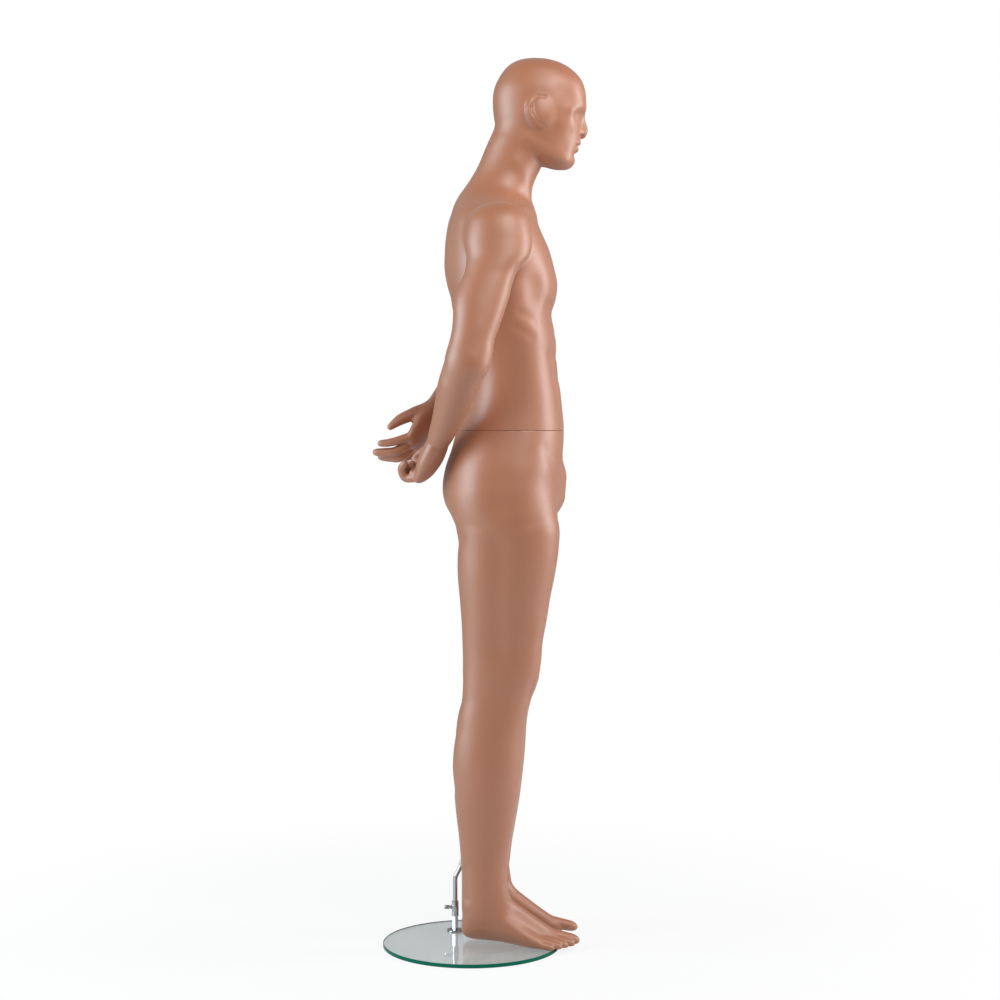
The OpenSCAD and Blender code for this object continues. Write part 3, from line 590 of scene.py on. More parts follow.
@dataclass(frozen=True)
class FigureFrame:
    """Place of the figure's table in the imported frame, read from the shells and the glass."""

    middle_x: float
    glass_top: float
    waist_z: float

    @classmethod
    def read(cls) -> "FigureFrame":
        """Reads the figure's middle, the top of the glass and the waist seam."""
        low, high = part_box("lower_body_shell")
        glass_top = float(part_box("glass_base")[1][2])
        seam = (high[2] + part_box("torso_shell")[0][2]) / 2
        return cls(float(low[0] + high[0]) / 2, glass_top, float(seam - glass_top) / MM)

    def placed(self, points: Array) -> Array:
        """Points of the figure's table in metres of the frame."""
        return points * MM + np.array([self.middle_x, 0.0, self.glass_top])


SHARP_ANGLE = math.radians(38)


def show(name: str, data: bpy.types.ID) -> bpy.types.Object:
    """Puts a mesh, a lamp or a camera into the scene as an object."""
    shown = bpy.data.objects.new(name, data)
    bpy.context.scene.collection.objects.link(shown)
    return shown


def smooth_mesh(name: str, points: Array, faces: Array, material: bpy.types.Material) -> bpy.types.Mesh:
    """Mesh of points and faces in metres, smooth but for its sharp edges, with one finish."""
    mesh = bpy.data.meshes.new(name)
    mesh.from_pydata(points.tolist(), [], faces.tolist())
    mesh.validate()
    mesh.shade_smooth()
    mesh.set_sharp_from_angle(angle=SHARP_ANGLE)
    mesh.materials.append(material)
    return mesh


def make_piece(name: str, skin: Skin, place: FigureFrame, body: str, material: bpy.types.Material) -> None:
    """Makes the object of a moulded shell, which stands for the CAD shell of its name.

    Args:
        name: CAD node that it replaces.
        skin: Its triangles.
        place: Place of the figure.
        body: Body that it rides on.
        material: Its finish.
    """
    mesh = smooth_mesh(name + "_skin", place.placed(skin.points), skin.triangles, material)
    piece = show(name + "_skin", mesh)
    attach(piece, body)
    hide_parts(name)
    LOG.info("%s: %d triangles", name, len(mesh.polygons))


# The figure

WAIST_GAP = 0.6
WAIST_CHAMFER = 0.5
LIMB_GAP = 0.05


def paired(rows: Rows) -> Rows:
    """Rows of a half width as rows of two sides."""
    return [[z, -half, half, front, back, power] for z, half, front, back, power in rows]


def seam_lip(inset: float, depth: float, chamfer: float = 0.0,
             draft: float = 0.0) -> list[tuple[float, float]]:
    """Lip of a moulded shell at a seam, as steps of inset and distance past the plane.

    Args:
        inset: Width of the wall's edge.
        depth: Depth of the pocket behind it.
        chamfer: Width of the chamfer, or 0 for a sharp edge.
        draft: How far the pocket narrows.

    Returns:
        The chamfer if there is one, the edge of the wall and the foot of the pocket.
    """
    edge = [(chamfer, chamfer)] if chamfer else []
    return edge + [(inset, chamfer), (inset + draft, chamfer - depth)]


@dataclass
class UpperArmForm:
    """The upper arm with its shoulder and elbow, on the figure's left."""

    rows: Rows = field(default_factory=lambda: [
        [1190, 243, 253, 8, 24, 2], [1196, 230, 266, -6, 36, 2], [1208, 221, 277, -24, 44, 2],
        [1226, 214, 285, -39, 49, 2.1], [1245, 210, 289, -45, 50, 2.1], [1283, 205, 286, -50, 41, 2.1],
        [1324, 196, 281, -63, 36, 2.1], [1364, 187, 274, -76, 34, 2.1], [1395, 180, 267, -85, 22, 2.1],
        [1425, 170, 259, -97, 10, 2.1], [1453, 150, 252, -120, 7, 2.1], [1485, 134, 246, -127, 12, 2.1],
        [1515, 124, 241, -124, 9, 2.1], [1537, 126, 233, -118, 2, 2.1], [1555, 134, 217, -106, -14, 2.1],
        [1565, 146, 198, -91, -31, 2], [1569, 160, 183, -76, -45, 2]])
    shoulder_x: float = 172.0
    shoulder_fillet: float = 26.0
    armpit_z: float = 1385.0

    def loft(self) -> Loft:
        """Stacked sections of the arm."""
        return Loft(self.rows)


@dataclass
class TorsoForm:
    """Chest, back and neck as one stack of sections."""

    rows: Rows = field(default_factory=lambda: [
        [1060, 157, -197, 42, 2.4], [1080, 151, -198, 34, 2.4], [1106, 147, -198, 27, 2.4],
        [1140, 142, -195, 14, 2.4], [1180, 140, -191, 6, 2.4], [1220, 142, -185, 6, 2.4],
        [1260, 148, -182, 14, 2.4], [1300, 156, -180, 25, 2.4], [1340, 162, -173, 36, 2.4],
        [1360, 165, -176, 41, 2.4], [1380, 168, -180, 44, 2.4], [1405, 169, -182, 51, 2.4],
        [1440, 170, -176, 57, 2.4], [1480, 170, -167, 56, 2.4], [1520, 170, -150, 52, 2.4],
        [1540, 168, -142, 49, 2.3], [1553, 162, -138, 45, 2.2], [1564, 150, -136, 42, 2.1],
        [1576, 126, -133, 39, 2], [1588, 100, -129, 33, 2], [1600, 82, -129, 26, 2],
        [1614, 70, -130, 16, 2], [1628, 64, -134, 6, 2], [1644, 60, -141, -4, 2],
        [1664, 59, -151, -15, 2], [1690, 60, -163, -26, 2], [1720, 62, -170, -39, 2],
        [1745, 58, -166, -52, 2], [1772, 44, -150, -80, 2]])

    strokes: list[Stroke] = field(default_factory=lambda: [
        *drawn(
            Face.FRONT,
            (4, 44, (62, 1420), (104, 1430)), (-3, 14, (24, 1350), (62, 1345), (98, 1360)),
            (-3.5, 13, (0, 1352), (0, 1490)), (-2, 10, (0, 1335), (0, 1165)),
            (-1.5, 9, (10, 1304), (52, 1300)), (-2, 9, (10, 1256), (60, 1254), (98, 1258)),
            (-1.2, 9, (10, 1208), (56, 1210)),
            (-2, 13, (78, 1320), (84, 1250), (80, 1190), (66, 1120)), (-5, 7, (0, 1158), (0, 1152)),
            (2, 10, (18, 1552), (60, 1560), (105, 1566), (148, 1560)), (-5, 14, (0, 1572), (0, 1566)),
            (-4, 18, (52, 1590), (80, 1588))),
        *drawn(
            Face.SPACE,
            (2, 16, (56, -98, 1664), (46, -116, 1635), (30, -132, 1595), (16, -138, 1566))),
        *drawn(
            Face.OUTER,
            (-9, 29, (-132, 1402), (-134, 1380)), (-1.5, 10, (-104, 1344), (-134, 1326)),
            (-1.5, 10, (-96, 1312), (-128, 1294))),
        *drawn(
            Face.BACK,
            (-8, 17, (0, 1560), (0, 1330), (0, 1160)), (2, 30, (62, 1500), (84, 1410)),
            (-2.5, 13, (54, 1388), (86, 1372), (118, 1384)), (2.5, 36, (126, 1390), (104, 1290)),
            (3, 20, (36, 1270), (38, 1130))),
    ])

    def loft(self) -> Loft:
        """Stacked sections of the torso."""
        return Loft(paired(self.rows))


@dataclass
class Head:
    """Smooth bald head with plain features: no eyes, one-piece ears, closed lips."""

    rows: Rows = field(default_factory=lambda: [
        [1654, 0, -192, -190, 2], [1656, 14, -206, -176, 2], [1661, 28, -213, -158, 2.1],
        [1672, 44, -219, -126, 2.2], [1685, 53, -221, -101, 2.2], [1698, 58, -225, -82, 2.2],
        [1712, 62, -229, -67, 2.2], [1730, 67, -232, -57, 2.2], [1752, 73, -237, -51, 2.2],
        [1778, 77, -243, -47, 2.2], [1802, 78, -245, -46, 2.2], [1826, 77, -242, -49, 2.2],
        [1847, 71, -233, -58, 2.2], [1865, 62, -216, -70, 2.1], [1879, 48, -194, -85, 2],
        [1887, 29, -171, -103, 2], [1891, 0, -137, -135, 2]])
    soften: float = 3.0
    neck_fillet: float = 12.0
    nose_fillet: float = 7.0
    wing_fillet: float = 5.0
    ear_fillet: float = 14.0
    rim_fillet: float = 5.0
    nose: Rows = field(default_factory=lambda: [
        [0, -230, 1782, 8, 8], [0, -233, 1766, 7.5, 7.5], [0, -237, 1750, 8.5, 8.5],
        [0, -239, 1738, 10, 9.5], [0, -237, 1728, 8, 7.5]])
    nostril_wing: Point = (10.5, -229.5, 1734.0)
    wing_radii: Point = (7.0, 8.5, 7.5)
    ear_at: Point = (70.0, -148.0, 1768.0)
    ear_radii: Point = (14.0, 26.0, 32.0)
    ear_turn: float = 12.0
    ear_tilt: float = 8.0
    ear_rim: Rows = field(default_factory=lambda: [
        [74, -135, 1796, 2.5, 2.5], [78, -124, 1787, 4, 4], [80, -120, 1772, 4.5, 4.5],
        [78, -125, 1755, 4, 4], [74, -137, 1741, 2.5, 2.5]])

    strokes: list[Stroke] = field(default_factory=lambda: [
        *drawn(
            Face.FRONT,
            (2.5, 12, (14, 1782), (38, 1786), (58, 1774)), (-6, 15, (24, 1764), (42, 1763)),
            (2, 15, (50, 1748), (60, 1742)), (-2, 16, (44, 1716), (50, 1706)),
            (4.5, 6, (14, 1710), (6, 1713), (0, 1712)), (3.5, 6.5, (12, 1699), (0, 1697)),
            (-4, 3.2, (19, 1704.5), (10, 1705.5), (0, 1705)), (-2, 7, (10, 1686), (0, 1686)),
            (1, 13, (8, 1671), (0, 1671)), (-2, 18, (66, 1800), (70, 1815))),
        *drawn(
            Face.SPACE,
            (3, 12, (34, -196, 1668), (53, -160, 1687), (62, -118, 1714))),
    ])
    grooves: list[Stroke] = field(default_factory=lambda: [
        *drawn(
            Face.SPACE,
            (-5, 3.2, (6.5, -240, 1724), (7, -235, 1726)),
            (-2.6, 3.2, (79, -156, 1798), (80, -141, 1799), (81, -132, 1791), (82, -129, 1777),
             (82, -132, 1762), (80, -141, 1748), (77, -152, 1737), (75, -160, 1734))),
    ])

    def ear(self) -> Ball:
        """Mound of the one-piece ear, turned to face a little forward."""
        turn, tilt = math.radians(self.ear_turn), math.radians(self.ear_tilt)
        out = np.array([math.cos(turn), -math.sin(turn), 0.0])
        back = np.array([math.sin(turn), math.cos(turn), 0.0])
        up = unit([back[0] * math.sin(tilt), back[1] * math.sin(tilt), math.cos(tilt)])
        return Ball(self.ear_at, self.ear_radii, np.array([out, np.cross(up, out), up]))

    def model(self, clay: Clay) -> None:
        """Melts the head into the clay of the torso."""
        loft = Loft(paired(self.rows), soften=self.soften)
        clay.add(loft, self.neck_fillet)
        clay.draw_all(self.strokes, loft)
        clay.add(Sweep(self.nose, (0, 1, 0), steps=3), self.nose_fillet)
        for side in Side:
            clay.add(Ball(self.nostril_wing, self.wing_radii), self.wing_fillet, side)
            clay.add(self.ear(), self.ear_fillet, side)
            clay.add(Sweep(self.ear_rim, (1, 0, 0), steps=4), self.rim_fillet, side)
        clay.draw_all(self.grooves)


@dataclass
class Torso:
    """Upper half of the figure, from the waist seam to the crown, without its arms."""

    waist_z: float
    form: TorsoForm = field(default_factory=TorsoForm)
    head: Head = field(default_factory=Head)
    arm: UpperArmForm = field(default_factory=UpperArmForm)
    wall: float = 4.0
    pocket: float = 18.0
    pocket_draft: float = 14.0
    plate_wall: float = 6.0
    plate_depth: float = 4.3
    grid: Sequence[Sequence[Span]] = (
        ((-192, -88, 3.6), (-88, 88, 2.2), (88, 192, 3.6)),
        ((-262, -20, 2.4), (-20, 72, 3.4)),
        ((1094, 1600, 3.6), (1600, 1650, 3), (1650, 1904, 2.0)))

    def model(self) -> Skin:
        """Sculpts the torso with its head and cuts it at the waist and the shoulders."""
        clay = Clay(*[grid_lines(*spans) for spans in self.grid])
        loft = self.form.loft()
        clay.add(loft, CRISP)
        for side in Side:
            clay.add(self.arm.loft(), self.arm.shoulder_fillet, side, self.arm.armpit_z)
        clay.draw_all(self.form.strokes, loft)
        self.head.model(clay)
        skin = clay.skin()
        skin.cut((0, 0, self.waist_z + WAIST_GAP / 2 + WAIST_CHAMFER), (0, 0, -1),
                 seam_lip(self.wall, self.pocket, WAIST_CHAMFER, self.pocket_draft))
        seam_x = self.arm.shoulder_x - LIMB_GAP / 2
        for side in Side:
            skin.cut((side.value * seam_x, 0, 0), (side.value, 0, 0),
                     seam_lip(self.plate_wall, self.plate_depth))
        return skin


@dataclass
class LowerBody:
    """Hips, legs and feet as one moulding, from the waist seam to the toes.

    A toe is its place across the foot, its tip and its radius. Its rows are the way back from the
    tip, the lift, and shares of the radius across and up.
    """

    waist_z: float
    pelvis_rows: Rows = field(default_factory=lambda: [
        [872, 118, -130, -40, 2.2], [896, 156, -160, 24, 2.2], [920, 170, -182, 44, 2.3],
        [945, 174, -188, 57, 2.3], [970, 175, -190, 62, 2.3], [995, 172, -192, 61, 2.3],
        [1020, 167, -194, 56, 2.4], [1045, 161, -195, 48, 2.4], [1070, 155, -197, 38, 2.4],
        [1106, 147, -198, 27, 2.4], [1132, 143, -196, 18, 2.4]])
    leg_rows: Rows = field(default_factory=lambda: [
        [50, 46, 98, -64, 8, 2], [64, 41, 104, -78, 17, 2.1], [87, 39, 108, -84, 20, 2.2],
        [112, 38, 109, -81, 20, 2.2], [145, 38, 109, -75, 20, 2.2], [190, 36, 111, -77, 22, 2.1],
        [240, 30, 120, -86, 26, 2.1], [290, 23, 129, -95, 32, 2.1], [340, 18, 137, -102, 36, 2.1],
        [395, 16, 140, -108, 39, 2.1], [470, 20, 138, -114, 31, 2.1], [500, 23, 136, -119, 27, 2.2],
        [530, 26, 135, -126, 21, 2.2], [560, 27, 136, -137, 19, 2.2], [580, 27, 137, -143, 18, 2.2],
        [610, 27, 139, -148, 17, 2.2], [650, 23, 142, -151, 18, 2.2], [700, 18, 149, -160, 20, 2.2],
        [750, 12, 156, -168, 24, 2.2], [800, 8, 162, -178, 28, 2.2], [850, 5, 167, -185, 28, 2.2],
        [900, 2, 170, -186, 32, 2.2], [925, 4, 166, -180, 38, 2.2], [970, 16, 152, -164, 34, 2.2],
        [1010, 40, 126, -130, 10, 2.2]])
    foot_rows: Rows = field(default_factory=lambda: [
        [0, -8, 8, 34, 56, 2], [4, -18, 18, 27, 68, 2.1], [14, -26, 26, 21, 84, 2.2],
        [30, -30, 30, 18, 98, 2.2], [56, -31, 32, 16, 104, 2.2], [86, -31, 34, 13, 90, 2.1],
        [112, -33, 36, 8, 70, 2.1], [135, -36, 37, 3, 52, 2.1], [155, -39, 37, 0.8, 38, 2.2],
        [167, -40, 34, 0.6, 30, 2.3], [180, -40, 26, 0.6, 26, 2.3], [192, -40, 15, 1, 24, 2.3],
        [203, -38, 2, 2, 22, 2.3], [211, -34, -12, 5, 19, 2.3]])
    instep_rows: Rows = field(default_factory=lambda: [
        [40, -20, 20, 60, 106, 2], [60, -25, 20, 48, 110, 2], [86, -30, 18, 36, 108, 2],
        [112, -34, 14, 26, 95, 2], [135, -37, 10, 18, 78, 2], [155, -39, 6, 12, 63, 2],
        [175, -40, 1, 8, 48.5, 2], [194, -40, -6, 6, 36, 2], [208, -37, -12, 8, 28, 2],
        [216, -32, -18, 10, 22, 2]])
    leg_fillet: float = 5.0
    foot_fillet: float = 13.0
    instep_fillet: float = 16.0
    toe_fillet: float = 1.8
    hip_fillet: float = 20.0
    foot_soften: float = 3.0
    heel: Point = (70.0, 20.0, 0.0)
    foot_splay: float = 3.0
    toes: Rows = field(default_factory=lambda: [
        [-25, 246, 12], [-9, 238, 8.8], [5, 225, 8.4], [17, 212, 8], [28, 196, 7.6]])
    toe_rows: Rows = field(default_factory=lambda: [
        [55, 10, 1, 1.2], [28, 5, 1, 1], [10, 1, 1, 0.9], [2.5, -1, 0.72, 0.6], [0, -2, 0.3, 0.25]])
    left_lead: float = 8.0
    shin_z: float = 180.0
    lead_run: float = 900.0
    wall: float = 4.0
    pocket: float = 18.0
    grid: Sequence[Sequence[Span]] = (
        ((-188, 188, 2.7),), ((-246, 76, 2.7),), ((-6, 120, 2.3), (120, 880, 5.0), (880, 1118, 3.4)))

    hip_strokes: list[Stroke] = field(default_factory=lambda: [
        *drawn(
            Face.FRONT,
            (15, 26, (0, 998), (0, 958)), (-2, 15, (128, 1060), (88, 1000), (48, 930)),
            (-2.5, 12, (66, 1120), (54, 1040))),
        *drawn(
            Face.BACK,
            (-17, 14, (0, 1040), (0, 960), (0, 880)), (-3, 16, (0, 1090), (0, 1050)),
            (3, 18, (36, 1130), (34, 1080))),
        *drawn(
            Face.OUTER,
            (-5, 36, (-60, 985), (-60, 945))),
    ])
    leg_strokes: list[Stroke] = field(default_factory=lambda: [
        *drawn(
            Face.BACK,
            (-3, 16, (30, 868), (80, 862), (124, 872)), (-2, 22, (82, 560), (82, 530)),
            (1.5, 22, (52, 430), (56, 370)), (1.5, 22, (106, 440), (102, 385)),
            (-2, 10, (80, 450), (79, 340)), (-4, 12, (50, 170), (50, 110)),
            (-4, 12, (96, 170), (96, 110))),
        *drawn(
            Face.FRONT,
            (1.5, 20, (50, 628), (48, 600)), (2, 22, (122, 680), (118, 640)),
            (1.5, 17, (82, 570), (82, 552)), (-3, 11, (56, 566), (58, 540)),
            (-3, 11, (110, 566), (108, 540)), (1, 12, (82, 520), (80, 496)),
            (2, 9, (74, 480), (70, 300), (72, 160))),
        *drawn(
            Face.OUTER,
            (-4, 26, (-56, 860), (-56, 640)), (2, 15, (-26, 100), (-24, 94))),
        *drawn(
            Face.INNER,
            (5, 10, (-40, 112), (-38, 108))),
    ])

    def led(self, side: Side) -> Rows:
        """Sections of a leg, with the left shin set a little further forward."""
        if side is Side.RIGHT:
            return self.leg_rows
        levels = [row[0] for row in self.leg_rows]
        leads = [self.left_lead * max(0.0, min(z / self.shin_z, 1 - (z - self.shin_z) / self.lead_run))
                 for z in levels]
        return [[z, x0, x1, y0 - lead, y1 - lead, n]
                for (z, x0, x1, y0, y1, n), lead in zip(self.leg_rows, leads)]

    def foot_axes(self) -> Array:
        """Axes of the foot: across it, up, and from heel to toe."""
        splay = math.radians(self.foot_splay)
        return np.array([[math.cos(splay), math.sin(splay), 0], [0, 0, 1],
                         [math.sin(splay), -math.cos(splay), 0]])

    def toe(self, toe: Sequence[float]) -> Sweep:
        """One toe, from its root to its tip."""
        across, tip, r = toe
        local = np.array([[across, r + lift, tip - back] for back, lift, _, _ in self.toe_rows])
        points = local @ self.foot_axes() + np.asarray(self.heel)
        radii = [[r * wide, r * thin] for _, _, wide, thin in self.toe_rows]
        return Sweep(np.hstack([points, radii]), (0, 0, 1), steps=3)

    def model(self) -> Skin:
        """Sculpts the hips, legs and feet and cuts them at the waist."""
        clay = Clay(*[grid_lines(*spans) for spans in self.grid])
        pelvis = Loft(paired(self.pelvis_rows))
        feet = ((self.foot_rows, self.foot_fillet), (self.instep_rows, self.instep_fillet))
        for side in Side:
            leg = Loft(self.led(side))
            clay.add(leg, self.leg_fillet, side)
            clay.draw_all(self.leg_strokes, leg, [side])
            for rows, fillet in feet:
                clay.add(Loft(rows, self.heel, self.foot_axes(), self.foot_soften), fillet, side)
            for toe in self.toes:
                clay.add(self.toe(toe), self.toe_fillet, side)
        clay.add(pelvis, self.hip_fillet)
        clay.draw_all(self.hip_strokes, pelvis)
        skin = clay.skin()
        skin.cut((0, 0, self.waist_z - WAIST_GAP / 2 - WAIST_CHAMFER), (0, 0, 1),
                 seam_lip(self.wall, self.pocket, WAIST_CHAMFER))
        return skin


@dataclass
class Grip:
    """Pose of one arm's end: its forearm, the ways its hand points and faces, and its fingers.

    A finger is its place across the palm, its place along it, its size and the bends of its joints.
    The thumb and the pad that fills a closed hand are places across, along and out of the palm, each
    with a radius.
    """

    forearm: Rows
    point: Point
    palm: Point
    fingers: Rows
    palm_rows: Rows
    thumb: Rows
    pad: Rows = field(default_factory=list)

    def seam(self) -> Array:
        """Point of the wrist seam."""
        return np.array(self.forearm[-1][:3], float)

    def way(self) -> Array:
        """Direction from the forearm into the hand."""
        return unit(self.seam() - np.array(self.forearm[-2][:3], float))


GRIPS = {
    Side.RIGHT: Grip(
        [[250, 3, 1236, 38, 41], [224, 21, 1198, 42, 42], [192, 33, 1160, 40, 38],
         [158, 47, 1124, 35, 31], [122, 62, 1089, 29.5, 25.5]],
        (-0.52, 0.36, -0.77), (-0.16, 0.85, 0.5),
        [[28, 84, 0.85, 50, 105, 60], [9.5, 87, 0.9, 50, 105, 60],
         [-9.5, 86, 0.92, 46, 95, 60], [-27, 82, 0.95, 48, 80, 55]],
        [[22, 36, 24], [48, 42, 24], [74, 42, 20], [90, 38, 14], [97, 28, 9]],
        [[12, 10, 4, 14], [26, 30, 12, 13], [30, 52, 20, 11], [24, 68, 30, 10], [14, 78, 36, 6]],
        [[-24, 87, 16, 9], [0, 87, 16, 12], [24, 87, 16, 9]]),
    Side.LEFT: Grip(
        [[250, 3, 1236, 38, 41], [222, 19, 1217, 42, 41], [190, 35, 1198, 40, 37],
         [156, 51, 1180, 35, 31], [122, 67, 1162, 30, 26], [98, 78, 1149, 28.5, 23]],
        (-0.42, 0.47, -0.78), (0.34, 0.87, 0.34),
        [[28, 88, 0.92, 43, 8, 10], [9.5, 92, 1.12, 30, 28, 8],
         [-9.5, 90, 1.1, 18, 44, 10], [-27, 82, 0.85, 10, 50, 12]],
        [[24, 36, 21], [52, 44, 18], [77, 43, 15], [92, 37, 12], [98, 28, 8]],
        [[6, 4, 4, 17], [18, 24, 16, 17], [31, 46, 27, 13.5], [36, 68, 40, 11.5], [37, 92, 50, 7]]),
}


@dataclass
class Hand:
    """One hand, in a frame of its palm's width, its length and the way that it faces."""

    grip: Grip
    finger_bones: Point = (36.0, 22.0, 17.0)
    finger_r: float = 10.0
    finger_taper: Sequence[float] = (1, 1, 0.93, 0.86, 0.72, 0.3)
    finger_root: float = 14.0
    finger_nub: float = 3.0
    finger_fillet: float = 4.5
    thumb_fillet: float = 12.0
    wrist_reach: float = 16.0
    wrist_half: tuple[float, float] = (29.0, 22.0)
    plate_wall: float = 4.0
    plate_depth: float = 4.3
    grid_step: float = 1.7
    grid_margin: float = 6.0

    def root(self) -> Array:
        """Middle of the wrist, where the palm starts."""
        return self.grip.seam() + self.wrist_reach * self.grip.way()

    def axes(self) -> Array:
        """Across the palm, along it and out of it."""
        point, palm = unit(self.grip.point), np.asarray(self.grip.palm, float)
        palm = unit(palm - (palm @ point) * point)
        return np.array([np.cross(palm, point), point, palm])

    def palm(self) -> Sweep:
        """The wrist and the palm, carried on from the end of the forearm."""
        _, point, palm = self.axes()
        root = self.root()
        rows = [[*root, *self.wrist_half]]
        rows += [[*(root + along * point), wide, thin] for along, wide, thin in self.grip.palm_rows]
        return Sweep(self.grip.forearm[-2:] + rows, palm, steps=6)

    def finger(self, finger: Sequence[float]) -> Sweep:
        """One finger: three bones, each bent further than the one before."""
        across, point, palm = self.axes()
        place, along, size, *joints = finger
        bends = np.radians(np.cumsum(joints))
        bones = [size * length * (math.cos(a) * point + math.sin(a) * palm)
                 for length, a in zip(self.finger_bones, bends)]
        knuckle = self.root() + place * across + along * point
        places = [knuckle - self.finger_root * point, knuckle]
        for bone in bones:
            places.append(places[-1] + bone)
        places.append(places[-1] + self.finger_nub * unit(bones[-1]))
        r = self.finger_r * math.sqrt(size)
        rows = [[*p, r * t, r * t] for p, t in zip(places, self.finger_taper)]
        return Sweep(rows, across, steps=5)

    def roll(self, places: Rows) -> Sweep:
        """The thumb or the pad: a round sweep through places of the palm's frame."""
        across, point, palm = self.axes()
        root = self.root()
        rows = [[*(root + a * across + b * point + c * palm), r, r] for a, b, c, r in places]
        return Sweep(rows, unit(across + 2 * palm), steps=5)

    def model(self) -> Skin:
        """Sculpts the hand, on the figure's left, and cuts it at the wrist."""
        forms = [(self.palm(), CRISP), (self.roll(self.grip.thumb), self.thumb_fillet)]
        forms += [(self.finger(f), self.finger_fillet) for f in self.grip.fingers]
        if self.grip.pad:
            forms.append((self.roll(self.grip.pad), self.finger_fillet))
        low = np.min([form.box()[0] for form, _ in forms], axis=0) - self.grid_margin
        high = np.max([form.box()[1] for form, _ in forms], axis=0) + self.grid_margin
        clay = Clay(*[grid_lines((a, b, self.grid_step)) for a, b in zip(low, high)])
        for form, fillet in forms:
            clay.add(form, fillet)
        skin = clay.skin()
        way = self.grip.way()
        skin.cut(self.grip.seam() + LIMB_GAP * way, -way, seam_lip(self.plate_wall, self.plate_depth))
        return skin


@dataclass
class Arm:
    """One arm, from the shoulder seam to the wrist seam."""

    grip: Grip
    upper: UpperArmForm = field(default_factory=UpperArmForm)
    torso: TorsoForm = field(default_factory=TorsoForm)
    elbow_fillet: float = 9.0
    plate_wall: float = 6.0
    plate_depth: float = 4.3
    wrist_wall: float = 4.0
    cut_drop: float = 12.0
    grid_step: float = 2.7
    grid_margin: float = 8.0

    strokes: list[Stroke] = field(default_factory=lambda: [
        *drawn(
            Face.OUTER,
            (-1, 20, (-44, 1420), (-30, 1330))),
        *drawn(
            Face.SPACE,
            (4, 11, (246, 48, 1222), (240, 44, 1212))),
        *drawn(
            Face.FRONT,
            (-2, 14, (222, 1240), (236, 1244)), (2, 24, (224, 1370), (236, 1310))),
        *drawn(
            Face.BACK,
            (-2, 24, (238, 1350), (246, 1310))),
    ])

    def model(self) -> Skin:
        """Sculpts the arm, on the figure's left, and cuts it at the shoulder and the wrist."""
        loft = self.upper.loft()
        path = self.grip.forearm + Hand(self.grip).palm().path[2:5]
        forearm = Sweep(path, unit(self.grip.palm), steps=8)
        low = np.minimum(loft.box()[0], forearm.box()[0]) - self.grid_margin
        high = np.maximum(loft.box()[1], forearm.box()[1]) + self.grid_margin
        clay = Clay(*[grid_lines((a, b, self.grid_step)) for a, b in zip(low, high)])
        clay.add(loft, CRISP)
        clay.add(forearm, self.elbow_fillet)
        chest = self.torso.loft()
        clay.add(chest, self.upper.shoulder_fillet, above=self.upper.armpit_z)
        clay.draw_all(self.torso.strokes, chest, [Side.LEFT])
        clay.draw_all(self.strokes, loft, [Side.LEFT])
        skin = clay.skin()
        skin.cut((self.upper.shoulder_x + LIMB_GAP / 2, 0, 0), (-1, 0, 0),
                 seam_lip(self.plate_wall, self.plate_depth), above=self.upper.armpit_z - self.cut_drop)
        skin.cut(self.grip.seam(), self.grip.way(), seam_lip(self.wrist_wall, self.plate_depth))
        return skin


# Finishes


class Value:
    """A shader socket that takes part in Python expressions."""

    def __init__(self, graph: "Graph", socket: bpy.types.NodeSocket) -> None:
        """Wraps an output socket of a graph."""
        self.graph = graph
        self.socket = socket

    def __add__(self, other: "Number") -> "Value":
        """Sum."""
        return self.graph.math("ADD", self, other)

    def __sub__(self, other: "Number") -> "Value":
        """Difference."""
        return self.graph.math("SUBTRACT", self, other)

    def __rsub__(self, other: "Number") -> "Value":
        """Difference from a number."""
        return self.graph.math("SUBTRACT", other, self)

    def __mul__(self, other: "Number") -> "Value":
        """Product."""
        return self.graph.math("MULTIPLY", self, other)

    __radd__ = __add__
    __rmul__ = __mul__


Number = Union[Value, float]


Colour = tuple[float, float, float, float]


def linear(red: int, green: int, blue: int) -> Colour:
    """Linear colour of three screen values from 0 to 255."""
    parts = [c / 255 for c in (red, green, blue)]
    return (*[c / 12.92 if c <= 0.04045 else ((c + 0.055) / 1.055) ** 2.4 for c in parts], 1.0)


def darker(tone: Colour, share: float) -> Colour:
    """Colour with a share of another's light."""
    return (*[c * share for c in tone[:3]], 1.0)


